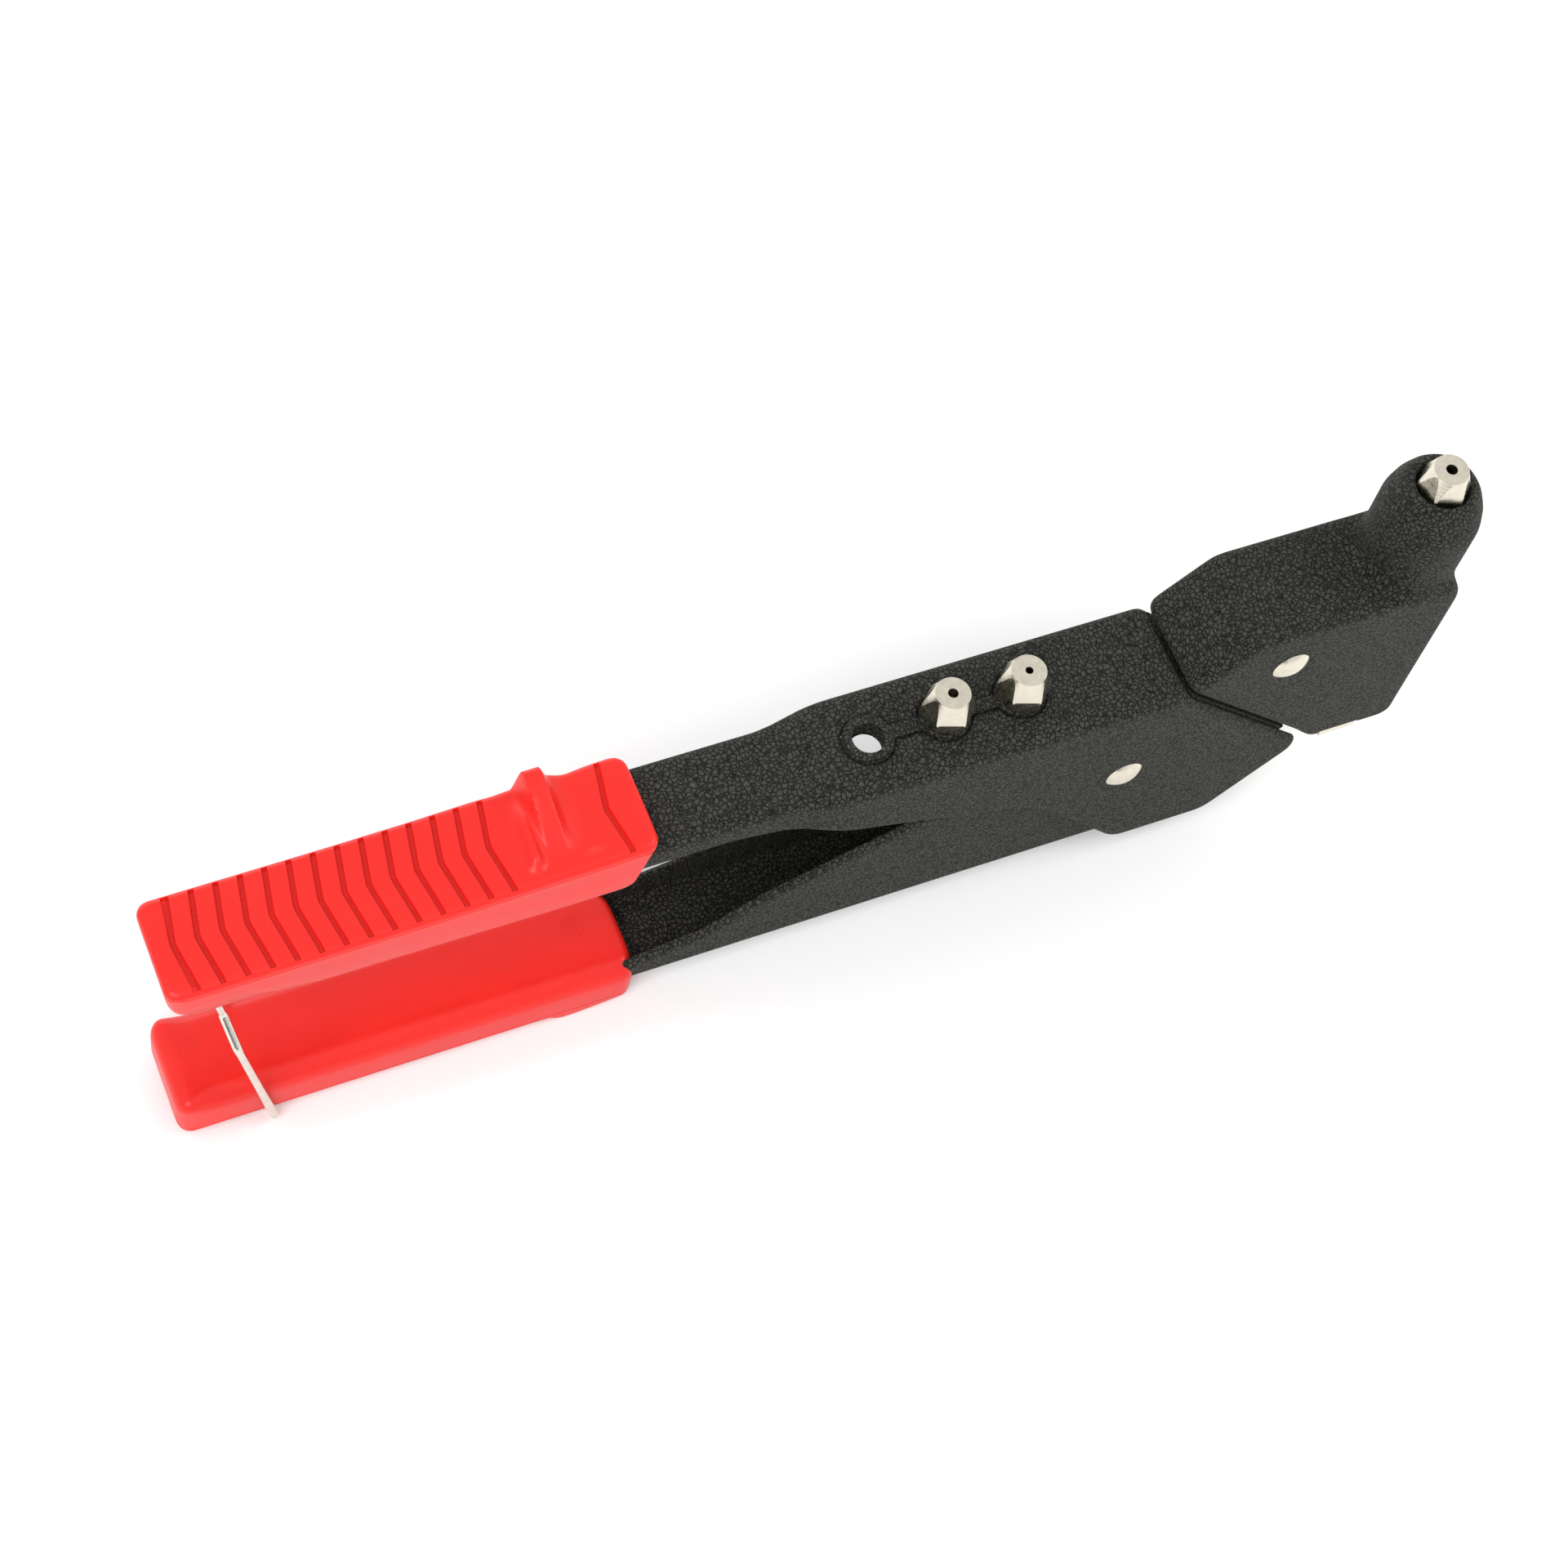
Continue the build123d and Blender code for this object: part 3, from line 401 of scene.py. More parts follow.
def plated(name, colour, roughness, lines, depth):
    """Bright plated metal with the fine turning or drawing lines of the part below."""
    made = Finish(name, colour, metallic=1.0, roughness=roughness)
    cloud = made.noise(700.0, 3.0, 0.6)
    made.colour(made.tint(made.ramp(cloud, 0.0, 1.0, 0.3, 0.7), shade(colour, 0.9), shade(colour, 1.06)))
    made.roughness(made.ramp(cloud, roughness * 0.75, roughness * 1.35, 0.3, 0.7))
    made.bump(made.noise(lines, 2.0, 0.6, made.stretched((0.12, 0.12, 1.0))), depth, 0.6)
    return made.material


def plain_steel(name, colour, roughness):
    """Bare or hardened steel for the inner mechanism, with faint machining marks."""
    made = Finish(name, colour, metallic=1.0, roughness=roughness)
    marks = made.noise(2600.0, 3.0, 0.65, made.stretched((1.0, 0.15, 1.0)))
    made.colour(made.tint(made.ramp(marks, 0.0, 1.0, 0.3, 0.7), shade(colour, 0.82), shade(colour, 1.1)))
    made.roughness(made.ramp(marks, roughness * 0.8, roughness * 1.3, 0.3, 0.7))
    made.bump(marks, 0.00004, 0.6)
    return made.material


def give(obj, material):
    """One finish all over a piece."""
    if not obj.material_slots:
        obj.data.materials.append(material)
    for one in obj.material_slots:
        one.material = material


# ---------------------------------------------------------------- mesh helpers


def smooth_step(value, start, end):
    t = np.clip((np.asarray(value, float) - start) / (end - start), 0.0, 1.0)
    return t * t * (3.0 - 2.0 * t)


def place(points):
    """Drawing millimetres to metres in the tool's frame."""
    return np.asarray(points, float) * MM + np.array([ORIGIN_X, 0.0, BODY_TOP])


def new_piece(name, points, faces, sharp_deg=38.0):
    """A mesh object with outward normals, smooth but for edges sharper than sharp_deg."""
    mesh = bpy.data.meshes.new(name)
    mesh.from_pydata([tuple(p) for p in points], [], faces)
    obj = bpy.data.objects.new(name, mesh)
    bpy.context.scene.collection.objects.link(obj)
    tidy_mesh(mesh, sharp_deg)
    return obj


def tidy_mesh(mesh, sharp_deg=38.0, merge=1e-7):
    made = bmesh.new()
    made.from_mesh(mesh)
    bmesh.ops.remove_doubles(made, verts=made.verts, dist=merge)
    bmesh.ops.recalc_face_normals(made, faces=made.faces)
    made.to_mesh(mesh)
    made.free()
    mesh.shade_smooth()
    mesh.set_sharp_from_angle(angle=math.radians(sharp_deg))


def skin(loops):
    """Points and faces of a closed skin over rows of points, with a face on each end."""
    rows, count = loops.shape[:2]
    faces = []
    for i in range(rows - 1):
        for j in range(count):
            k = (j + 1) % count
            faces.append((i * count + j, i * count + k, (i + 1) * count + k, (i + 1) * count + j))
    faces.append(tuple(range(count)))
    faces.append(tuple((rows - 1) * count + j for j in range(count)))
    return loops.reshape(-1, 3), faces


def applied(obj):
    """Turns an object's modifiers into its mesh."""
    graph = bpy.context.evaluated_depsgraph_get()
    mesh = bpy.data.meshes.new_from_object(obj.evaluated_get(graph))
    obj.modifiers.clear()
    obj.data = mesh
    return obj


def copy_of(node, name):
    """A free copy of a CAD node's mesh."""
    obj = bpy.data.objects.new(name, NODES[node].data.copy())
    obj.data.materials.clear()
    bpy.context.scene.collection.objects.link(obj)
    tidy_mesh(obj.data, merge=2e-6)
    return obj


def joined(name, *parts):
    """Several mesh objects made into one."""
    with bpy.context.temp_override(active_object=parts[0], selected_editable_objects=list(parts)):
        bpy.ops.object.join()
    parts[0].name = name
    parts[0].data.name = name
    return parts[0]


def drawn(obj):
    """An object's points in drawing millimetres, as rows of x, y and z."""
    points = np.empty(len(obj.data.vertices) * 3)
    obj.data.vertices.foreach_get("co", points)
    return (points.reshape(-1, 3) - np.array([ORIGIN_X, 0.0, BODY_TOP])) / MM


def flowed(obj, weights, passes):
    """Smooths a mesh where weights is above 0."""
    group = obj.vertex_groups.new(name="flow")
    for index in np.nonzero(weights > 0.02)[0]:
        group.add([int(index)], float(weights[index]), "REPLACE")
    smooth = obj.modifiers.new("flow", "SMOOTH")
    smooth.factor = 0.5
    smooth.iterations = passes
    smooth.vertex_group = "flow"
    applied(obj)
    obj.vertex_groups.clear()


def softened(node, name, voxel, softness, soft_places=None):
    """A CAD node's shape with the soft edges that a thick coating gives."""
    obj = copy_of(node, name)
    remesh = obj.modifiers.new("coat", "REMESH")
    remesh.mode = "VOXEL"
    remesh.voxel_size = voxel
    smooth = obj.modifiers.new("flow", "SMOOTH")
    smooth.factor = 0.5
    smooth.iterations = round((softness / voxel) ** 2)
    applied(obj)
    if soft_places:
        flowed(obj, soft_places(drawn(obj)), round((2.6 * softness / voxel) ** 2))
    count = len(obj.data.polygons) * 2
    if count > FACE_LIMIT:
        thin = obj.modifiers.new("thin", "DECIMATE")
        thin.ratio = FACE_LIMIT / count
        applied(obj)
    obj.data.shade_smooth()
    return obj


# ---------------------------------------------------------------- operators


class RiveterOperator(bpy.types.Operator):
    """What the operators share."""

    bl_options = {"REGISTER", "UNDO"}

    def grips(self):
        return bpy.context.scene.riveter_grips

    def finish(self):
        return bpy.context.scene.riveter_finish


class RIVETER_OT_finishes(RiveterOperator):
    """Make the finishes and give them to the metal parts"""

    bl_idname = "riveter.finishes"
    bl_label = "Finishes"

    coated = (
        "body_shell",
        "lower_handle",
        "head_shell",
        "nosepiece_store",
        "swivel_plate",
        "head_rear_plate",
    )
    nickelled = (
        "nosepiece",
        "stored_nosepiece_rear",
        "stored_nosepiece_front",
        "main_pivot_rivet",
        "head_pin_rivet",
        "rear_plug",
        "swivel_clip",
        "fork_rivet",
    )
    hardened = ("jaw_near", "jaw_far", "head_lever", "rod_cross_pin")
    springy = ("jaw_spring", "wave_washer")

    def execute(self, context):
        finish = self.finish()
        coat = textured_coat(finish)
        plastic = satin_plastic(finish)
        groove_plastic(finish)
        nickel = plated("warm_nickel", tuple(finish.nickel), 0.22, 3000.0, 0.00004)
        wire = plated("bright_wire", tuple(finish.wire), 0.13, 1500.0, 0.00003)
        machined = plain_steel("machined_steel", (0.52, 0.51, 0.49), 0.34)
        hardened = plain_steel("hardened_steel", (0.25, 0.24, 0.24), 0.38)
        spring = plain_steel("spring_steel", (0.42, 0.41, 0.40), 0.28)
        for name, node in NODES.items():
            if name in self.coated:
                give(node, coat)
            elif name in ("upper_grip", "lower_grip"):
                give(node, plastic)
            elif name == "latch_wire":
                give(node, wire)
            elif name in self.nickelled:
                give(node, nickel)
            elif name in self.hardened:
                give(node, hardened)
            elif name in self.springy:
                give(node, spring)
            else:
                give(node, machined)
        return {"FINISHED"}


class RIVETER_OT_shells(RiveterOperator):
    """Build the coated shells of body, lower handle and head with soft coated edges"""

    bl_idname = "riveter.shells"
    bl_label = "Coated shells"

    def head_places(self, points):
        """Where the casting flows: the foot of the barrel and the front corners."""
        x, y, z = points.T
        from_wall = np.hypot(x - BARREL_X, y) - BARREL_RADIUS
        foot = np.exp(-((from_wall / 3.0) ** 2) - ((z - HEAD_TOP) / 3.5) ** 2)
        edge = 0.8 * smooth_step(np.abs(y), 8.8, 11.0) * (1 - smooth_step(z, 13.0, 18.0))
        front = smooth_step(x, BARREL_X + 3.0, BARREL_X + 7.0) * (1 - smooth_step(z, 10.0, 16.0))
        return np.clip(foot + edge + front, 0, 1) * smooth_step(z, -39.0, -36.0)

    def execute(self, context):
        coat = bpy.data.materials["textured_black_coat"]
        voxel = 0.00055
        for node, body, softness, places in (
            ("body_shell", "frame", 0.0015, None),
            ("lower_handle", "lower_handle", 0.0013, None),
            ("head_shell", "head", 0.0015, self.head_places),
        ):
            obj = softened(node, "coated_" + node, voxel, softness, places)
            give(obj, coat)
            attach(obj, body)
            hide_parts(node)
        return {"FINISHED"}


class UpperGripShape:
    """The upper grip as numbers: heights over its plan, and its cross sections."""

    corner = 3.0
    edge = 1.7
    crown = 0.35
    wall_inner = 9.95
    ceiling = -1.9
    solid_rear = 3.3
    ridge_x = 81.0
    groove_slope = 0.16
    groove_reach = 10.25
    front_groove = 92.5

    def __init__(self, grips):
        self.g = grips

    def top(self, x):
        """Level of the top face along the middle."""
        return np.interp(
            x,
            [0, 20, 40, 55, 65, 72, 85, 92, 97, 102],
            [1.7, 1.8, 2.0, 2.4, 2.9, 3.3, 3.7, 4.1, 4.5, 4.3],
        )

    def skirt(self, x):
        """Level of the lower edge of the sides."""
        low = np.interp(x, [0, 16, 22, 30, 60, 80, 102], [-6.9, -7.0, -9.0, -10.5, -10.9, -11.3, -11.1])
        rear = np.clip(2.5 - x, 0, 2.5)
        front = np.clip(5.0 - (self.g.length - x), 0, 5.0)
        lift_rear = 2.5 - np.sqrt(2.5**2 - rear**2)
        lift_front = 5.0 - np.sqrt(5.0**2 - front**2)
        return low + lift_rear + lift_front

    def half(self, x):
        """Half width, narrowing round the plan corners."""
        near_end = np.minimum(x, self.g.length - x)
        inside = np.clip(self.corner - near_end, 0, self.corner)
        return self.g.half_width - self.corner + np.sqrt(self.corner**2 - inside**2)

    def inset(self, x, y):
        """Distance of a point of the plan from its rounded outline."""
        dx = np.minimum(x, self.g.length - x)
        dy = self.g.half_width - np.abs(y)
        cx = np.clip(self.corner - dx, 0, None)
        cy = np.clip(self.corner - dy, 0, None)
        round_corner = self.corner - np.hypot(cx, cy)
        return np.clip(np.where((cx > 0) & (cy > 0), round_corner, np.minimum(dx, dy)), 0, None)

    def ridge(self, x, y):
        """Thumb ridge: high at the far side, fading towards the near side."""
        rise = self.g.ridge_height * smooth_step(y, -8.0, 9.5)
        lean = self.ridge_x + 0.25 - 0.03 * y
        back = smooth_step(x, lean - 4.1, lean - 1.6)
        front = 1.0 - smooth_step(x, lean + 0.2, lean + 3.7)
        tail = 0.34 * np.exp(-(((x - lean - 2.2) / 4.2) ** 2)) * back
        main = rise * np.clip(back * front + tail, 0, 1)
        lobe_x = self.ridge_x - 4.4 + 0.10 * y
        window = smooth_step(y, -9.4, -5.8) * (1 - smooth_step(y, 1.0, 9.5))
        lobe = 2.1 * np.exp(-(((x - lobe_x) / 1.6) ** 2)) * window
        hollow_x = self.ridge_x + 6.8
        hollow = -1.0 * np.exp(-(((x - hollow_x) / 3.2) ** 2)) * smooth_step(y, -9.0, -5.5)
        behind = -0.35 * np.exp(-(((x - self.ridge_x + 8.0) / 2.5) ** 2)) * smooth_step(y, -8.0, -4.0)
        return main + lobe + hollow + behind

    def groove(self, s, y):
        """Depth of the V grooves; s is the distance along the grip that follows a groove."""
        g = self.g
        starts = [g.groove_first + i * g.groove_pitch for i in range(g.groove_count)]
        starts.append(self.front_groove)
        depth = np.zeros(np.broadcast(s, y).shape)
        for start in starts:
            stop = start + g.groove_width
            inside = smooth_step(s, start, start + self.groove_slope)
            inside = inside * (1 - smooth_step(s, stop - self.groove_slope, stop))
            depth = np.maximum(depth, inside * g.groove_depth)
        return depth * (1 - smooth_step(np.abs(y), self.groove_reach, self.groove_reach + 0.2))

    def groove_floor(self, x, y):
        """Where the plan's points lie on the floor of a groove."""
        g = self.g
        ends = smooth_step(x, 0.5, 6.0) * (1 - smooth_step(x, g.length - 6.0, g.length - 0.5))
        s = x - ends * g.groove_sweep * np.sqrt(y**2 + 0.25) / g.half_width
        return self.groove(s, y) > 0.8 * g.groove_depth

    def height(self, x, s, y):
        """Level of the top surface, its rounded edge included."""
        level = self.top(x) - self.crown * (y / self.g.half_width) ** 2
        level = level + self.ridge(x, y) - self.groove(s, y)
        inset = np.clip(self.inset(x, y), 0, self.edge)
        drop = self.edge - np.sqrt(self.edge**2 - (self.edge - inset) ** 2)
        return level - drop

    def columns(self):
        """Distances along the grip where a cross section stands."""
        g = self.g
        turns = np.linspace(0, math.pi / 2, 9)
        ends = self.corner * (1 - np.cos(turns))
        marks = list(ends) + list(g.length - ends)
        starts = [g.groove_first + i * g.groove_pitch for i in range(g.groove_count)]
        for start in starts + [self.front_groove]:
            for share in (-0.35, 0.0, 0.08, 0.16, 0.6, g.groove_width - 0.6):
                marks.append(start + share)
            for share in (0.16, 0.08, 0.0, -0.35):
                marks.append(start + g.groove_width - share)
        marks += list(np.arange(3.2, g.length - 3.2, 1.1))
        marks += list(np.arange(73.0, 92.0, 0.3))
        marks = np.unique(np.round(marks, 3))
        keep = [marks[0]]
        for value in marks[1:]:
            if value - keep[-1] > 0.035:
                keep.append(value)
        return np.array(keep)

    def across(self):
        """Shares of the half width where the top surface has a row of points."""
        turns = np.linspace(0, math.pi / 2, 8)
        edge = 1.0 - self.edge * (1 - np.cos(turns)) / self.g.half_width
        ends = self.groove_reach + np.array([0.0, 0.1, 0.2])
        marks = list(edge) + list(ends / self.g.half_width)
        marks += list(np.linspace(0.06, 0.84, 16))
        marks = np.unique(np.round(marks, 4))
        return np.concatenate([-marks[::-1], [0.0], marks])

    def loops(self):
        """All cross sections, as rows of points round the grip."""
        g = self.g
        rows = []
        for s in self.columns():
            ends = smooth_step(s, 0.5, 6.0) * (1 - smooth_step(s, g.length - 6.0, g.length - 0.5))
            y = self.across() * self.half(s)
            bend = np.sqrt(y**2 + 0.25) / g.half_width
            x = s + ends * g.groove_sweep * bend
            z = self.height(x, s, y)
            top = np.stack([x, y, z], 1)
            far = self.wall(x[-1], top[-1])
            near = self.wall(x[0], top[0])
            rows.append(np.concatenate([top, far, near[::-1]]))
        rows = np.array(rows)
        lean = smooth_step(rows[..., 0], 84.0, g.length)
        rows[..., 0] += lean * 0.24 * (rows[..., 2] - 4.0)
        rear = 1 - smooth_step(rows[..., 0], 0.0, 6.0)
        rows[..., 0] -= rear * 0.09 * (rows[..., 2] - 1.7)
        return rows

    def wall(self, x, start):
        """Points down one side, over its lower edge and up to the ceiling inside."""
        side = np.sign(start[1])
        outer = abs(start[1])
        low = float(self.skirt(x))
        inner = min(self.wall_inner, outer - 1.1)
        ceiling = self.ceiling if x > self.solid_rear else low + 0.01
        top = start[2]
        levels = [
            (outer, top - 0.10),
            (outer - 0.16, top - 0.18),
            (outer - 0.16, top - 0.42),
            (outer - 0.02, top - 0.52),
            (outer - 0.03, top - 1.2),
            (outer - 0.06, (top + low) / 2),
            (outer - 0.10, low + 0.9),
            (outer - 0.18, low + 0.35),
            (outer - 0.42, low + 0.08),
            (outer - 0.75, low),
            (inner, low),
            (inner - 0.02, ceiling),
            (inner - 3.0, ceiling),
        ]
        return np.array([(x, side * y, z) for y, z in levels])


class RIVETER_OT_upper_grip(RiveterOperator):
    """Mould the upper grip: grooved top, thumb ridge, skirts and latch block"""

    bl_idname = "riveter.upper_grip"
    bl_label = "Upper grip"

    def latch_block(self):
        """The block that holds the wire's axle, cut out of the CAD grip."""
        block = copy_of("upper_grip", "latch_block")
        low = place([2.0, -9.9, -13.0])
        high = place([18.5, 9.9, -1.85])
        ends = list(zip(low, high))
        corners = [(x, y, z) for x in ends[0] for y in ends[1] for z in ends[2]]
        faces = [(0, 1, 3, 2), (4, 6, 7, 5), (0, 4, 5, 1), (2, 3, 7, 6), (0, 2, 6, 4), (1, 5, 7, 3)]
        cutter = new_piece("latch_block_cutter", corners, faces)
        cut = block.modifiers.new("cut", "BOOLEAN")
        cut.operation = "INTERSECT"
        cut.solver = "EXACT"
        cut.object = cutter
        bevel = block.modifiers.new("soft_edges", "BEVEL")
        bevel.width = 0.0003
        bevel.segments = 2
        bevel.limit_method = "ANGLE"
        bevel.angle_limit = math.radians(40)
        applied(block)
        bpy.data.objects.remove(cutter)
        tidy_mesh(block.data)
        return block

    def paint_grooves(self, obj, shape):
        """Gives the groove floors their own finish, rougher and darker, the darkness partly painted
        shade in the recess.
        """
        obj.data.materials.append(bpy.data.materials["red_groove_floor"])
        last = len(obj.data.materials) - 1
        points = drawn(obj)
        for face in obj.data.polygons:
            x, y, z = points[list(face.vertices)].mean(axis=0)
            if face.normal.z > 0.9 and z > 0 and shape.groove_floor(x, y):
                face.material_index = last

    def execute(self, context):
        shape = UpperGripShape(self.grips())
        points, faces = skin(shape.loops())
        sleeve = new_piece("upper_grip_sleeve", place(points), faces)
        obj = joined("moulded_upper_grip", sleeve, self.latch_block())
        give(obj, bpy.data.materials["satin_red_plastic"])
        self.paint_grooves(obj, shape)
        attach(obj, "frame")
        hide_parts("upper_grip")
        return {"FINISHED"}


class LowerGripShape:
    """The lower grip as numbers: its cross sections from rear to front."""

    rear = 1.0
    front = 102.0
    corner = 3.2
    parting = -64.6

    def __init__(self, grips):
        self.g = grips

    def top(self, x):
        level = np.interp(x, [0, 10, 50, 90, 102], [-53.5, -53.4, -53.4, -53.6, -54.0])
        rear = np.clip(3.6 - (x - self.rear), 0, 3.6)
        front = np.clip(2.6 - (self.front - x), 0, 2.6)
        return level - (3.6 - np.sqrt(3.6**2 - rear**2)) - (2.6 - np.sqrt(2.6**2 - front**2))

    def bottom(self, x):
        level = np.interp(
            x,
            [0, 60, 80, 82.5, 84.5, 86.0, 88.5, 99.5, 102],
            [-65.9, -65.9, -66.0, -66.2, -67.6, -67.98, -67.98, -66.3, -66.0],
        )
        rear = np.clip(2.0 - (x - self.rear), 0, 2.0)
        front = np.clip(2.5 - (self.front - x), 0, 2.5)
        return level + (2.0 - np.sqrt(2.0**2 - rear**2)) + (2.5 - np.sqrt(2.5**2 - front**2))

    def half(self, x):
        end = np.minimum(x - self.rear, self.front - x)
        inside = np.clip(self.corner - end, 0, self.corner)
        return self.g.half_width - self.corner + np.sqrt(self.corner**2 - inside**2)

    def shoulder(self, x):
        """Radius of the top edges: large along the grip, tighter at the rear."""
        return 2.0 + 2.8 * smooth_step(x, 1.5, 9.0)

    def columns(self):
        turns = np.linspace(0, math.pi / 2, 10)
        ends = 3.6 * (1 - np.cos(turns))
        marks = list(self.rear + ends) + list(self.front - ends)
        marks += list(np.arange(5.0, 98.0, 1.5)) + [80, 81.5, 82.5, 83.5, 84.5, 85.2, 86, 87.2, 88.5, 90]
        marks = np.unique(np.round(marks, 3))
        keep = [marks[0]]
        for value in marks[1:]:
            if value - keep[-1] > 0.03:
                keep.append(value)
        return np.array(keep)

    def section(self, x):
        half = float(self.half(x))
        top = float(self.top(x))
        low = float(self.bottom(x))
        radius = min(float(self.shoulder(x)), half - 0.5)
        points = [(t * (half - radius), top - 0.12 * t * t) for t in np.linspace(0, 1, 9)]
        for turn in np.linspace(0, math.pi / 2, 10)[1:]:
            out = half - radius + radius * math.sin(turn)
            points.append((out, top - 0.12 - radius * (1 - math.cos(turn))))
        seam = max(self.parting, low + 1.0)
        seam = min(seam, top - radius - 0.6)
        points += [
            (half, (seam + top - radius) / 2),
            (half - 0.01, seam + 0.18),
            (half - 0.15, seam + 0.08),
            (half - 0.15, seam - 0.10),
            (half - 0.02, seam - 0.18),
            (half - 0.10, low + 0.55),
            (half - 0.45, low + 0.15),
            (half - 1.1, low),
            (half - 3.5, low - 0.02),
            (half * 0.4, low - 0.02),
        ]
        points = np.array(points)
        far = np.stack([np.full(len(points), x), points[:, 0], points[:, 1]], 1)
        near = far[::-1].copy()
        near[:, 1] *= -1
        return np.concatenate([far, near[:-1]])

    def loops(self):
        return np.array([self.section(x) for x in self.columns()])


class RIVETER_OT_lower_grip(RiveterOperator):
    """Mould the lower grip: rounded top, parting line, finger guard and ejector marks"""

    bl_idname = "riveter.lower_grip"
    bl_label = "Lower grip"

    marks = ((7.2, 2.0), (91.8, 2.6))
    mark_radius = 2.5

    def ejector_mark(self, x, y, level):
        """A faint raised disc where an ejector pin met the moulding."""
        radius = self.mark_radius
        rings = [(radius, -0.2), (radius - 0.02, 0.03), (radius - 0.25, 0.07)]
        rings += [(radius - 0.45, 0.02), (radius * 0.5, 0.02)]
        turns = np.linspace(0, 2 * math.pi, 49)[:-1]
        loops = np.array(
            [
                [(x + r * math.cos(t), y + r * math.sin(t), level + h) for t in turns]
                for r, h in rings
            ]
        )
        points, faces = skin(loops)
        return new_piece("ejector_mark", place(points), faces)

    def execute(self, context):
        shape = LowerGripShape(self.grips())
        points, faces = skin(shape.loops())
        parts = [new_piece("lower_grip_sleeve", place(points), faces)]
        for x, y in self.marks:
            parts.append(self.ejector_mark(x, y, float(shape.top(x)) - 0.03))
        obj = joined("moulded_lower_grip", *parts)
        give(obj, bpy.data.materials["satin_red_plastic"])
        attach(obj, "lower_handle")
        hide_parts("lower_grip")
        return {"FINISHED"}


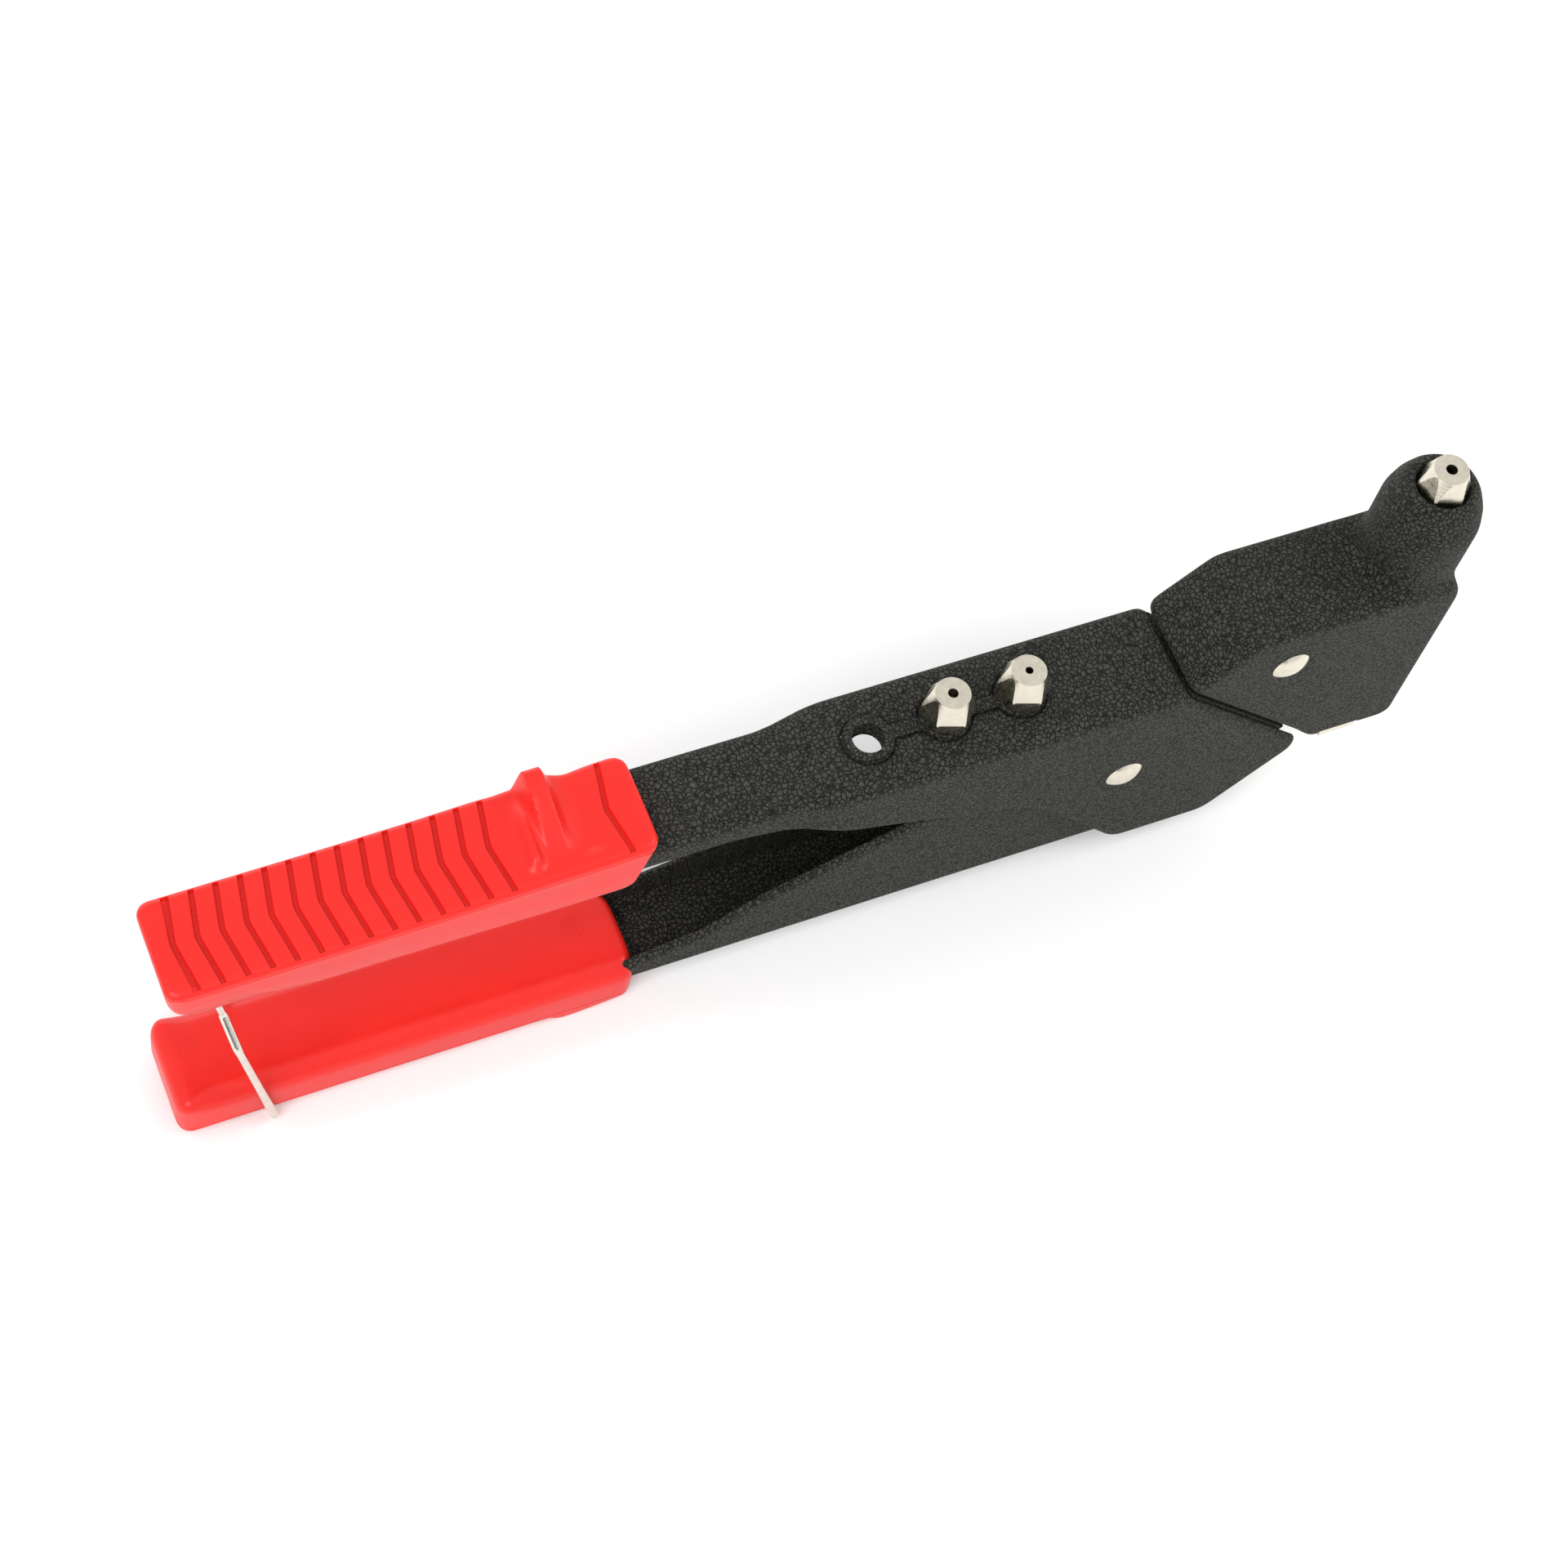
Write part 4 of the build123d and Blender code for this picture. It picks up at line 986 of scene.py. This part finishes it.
class RIVETER_OT_stage(bpy.types.Operator):
    """Set the floor, the lights, the white surroundings and the camera"""

    bl_idname = "riveter.stage"
    bl_label = "Stage"

    def floor(self):
        size = 4.0
        corners = [(-size, -size, 0), (size, -size, 0), (size, size, 0), (-size, size, 0)]
        obj = new_piece("floor", corners, [(0, 1, 2, 3)])
        obj.location.z = CAD_LOW.z - 0.0002
        made = Finish("white_floor", (0.92, 0.92, 0.92), roughness=0.55)
        give(obj, made.material)

    def lamp(self, name, place_at, size, power, colour=(1.0, 1.0, 1.0)):
        data = bpy.data.lights.new(name, "AREA")
        data.shape = "RECTANGLE"
        data.size, data.size_y = size
        data.energy = power
        data.color = colour
        obj = bpy.data.objects.new(name, data)
        bpy.context.scene.collection.objects.link(obj)
        obj.location = place_at
        obj.rotation_euler = (Vector((0, 0, 0.03)) - obj.location).to_track_quat("-Z", "Y").to_euler()

    def dark_card(self):
        """An upright dark card that only shows in bright metal."""
        corners = [(-0.72, -0.45, 0.0), (0.05, -0.68, 0.0), (0.05, -0.68, 0.22), (-0.72, -0.45, 0.22)]
        obj = new_piece("dark_card", corners, [(0, 1, 2, 3)])
        give(obj, Finish("dark_card", (0.22, 0.22, 0.21), roughness=0.9).material)
        obj.visible_camera = False
        obj.visible_diffuse = False
        obj.visible_shadow = False

    def world(self, strength):
        world = bpy.data.worlds.new("white_surroundings")
        world.use_nodes = True
        background = world.node_tree.nodes["Background"]
        background.inputs["Color"].default_value = (1.0, 1.0, 1.0, 1.0)
        background.inputs["Strength"].default_value = strength
        bpy.context.scene.world = world

    def camera(self, stage):
        azimuth = math.radians(stage.azimuth)
        elevation = math.radians(stage.elevation)
        back = Vector(
            (
                math.sin(azimuth) * math.cos(elevation),
                -math.cos(azimuth) * math.cos(elevation),
                math.sin(elevation),
            )
        )
        roll = Matrix.Rotation(math.radians(stage.roll), 3, "Z")
        turn = (-back).to_track_quat("-Z", "Y").to_matrix() @ roll
        right = turn @ Vector((1, 0, 0))
        up = turn @ Vector((0, 1, 0))
        middle = (CAD_LOW + CAD_HIGH) / 2
        data = bpy.data.cameras.new("camera")
        data.sensor_width = 36.0
        data.lens = stage.lens
        data.clip_start, data.clip_end = 0.01, 20.0
        obj = bpy.data.objects.new("camera", data)
        bpy.context.scene.collection.objects.link(obj)
        obj.location = middle + back * stage.distance - right * stage.aim_right - up * stage.aim_up
        obj.rotation_euler = turn.to_euler()
        bpy.context.scene.camera = obj

    def execute(self, context):
        stage = context.scene.riveter_stage
        self.floor()
        self.lamp("key_softbox", (-0.75, -0.55, 1.05), (0.8, 0.6), 9.0)
        self.lamp("right_softbox", (0.95, -0.35, 0.95), (0.7, 0.5), 5.0)
        self.lamp("back_softbox", (-0.2, 1.3, 0.45), (1.2, 0.3), 4.0)
        self.dark_card()
        self.world(stage.sky)
        self.camera(stage)
        context.scene.view_settings.view_transform = "Standard"
        return {"FINISHED"}


class RIVETER_PT_panel(bpy.types.Panel):
    """Lists the steps that build the riveter's looks"""

    bl_idname = "RIVETER_PT_panel"
    bl_label = "Hand riveter"
    bl_space_type = "VIEW_3D"
    bl_region_type = "UI"
    bl_category = "Riveter"

    def draw(self, context):
        layout = self.layout
        for group in ("riveter_grips", "riveter_finish", "riveter_stage"):
            values = getattr(context.scene, group)
            for name in values.__annotations__:
                layout.prop(values, name)
        for operator in OPERATORS:
            layout.operator(operator.bl_idname)


GROUPS = {
    "riveter_grips": RIVETER_PG_grips,
    "riveter_finish": RIVETER_PG_finish,
    "riveter_stage": RIVETER_PG_stage,
}
OPERATORS = (
    RIVETER_OT_finishes,
    RIVETER_OT_shells,
    RIVETER_OT_upper_grip,
    RIVETER_OT_lower_grip,
    RIVETER_OT_stage,
)


def register():
    for name, group in GROUPS.items():
        bpy.utils.register_class(group)
        setattr(bpy.types.Scene, name, PointerProperty(type=group))
    for one in (*OPERATORS, RIVETER_PT_panel):
        bpy.utils.register_class(one)


def unregister():
    for one in (RIVETER_PT_panel, *reversed(OPERATORS)):
        bpy.utils.unregister_class(one)
    for name, group in GROUPS.items():
        delattr(bpy.types.Scene, name)
        bpy.utils.unregister_class(group)


def write_sizes():
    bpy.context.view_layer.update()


def main():
    register()
    bpy.ops.riveter.finishes()
    bpy.ops.riveter.shells()
    bpy.ops.riveter.upper_grip()
    bpy.ops.riveter.lower_grip()
    bpy.ops.riveter.stage()
    write_sizes()


if __name__ == "__main__":
    main()
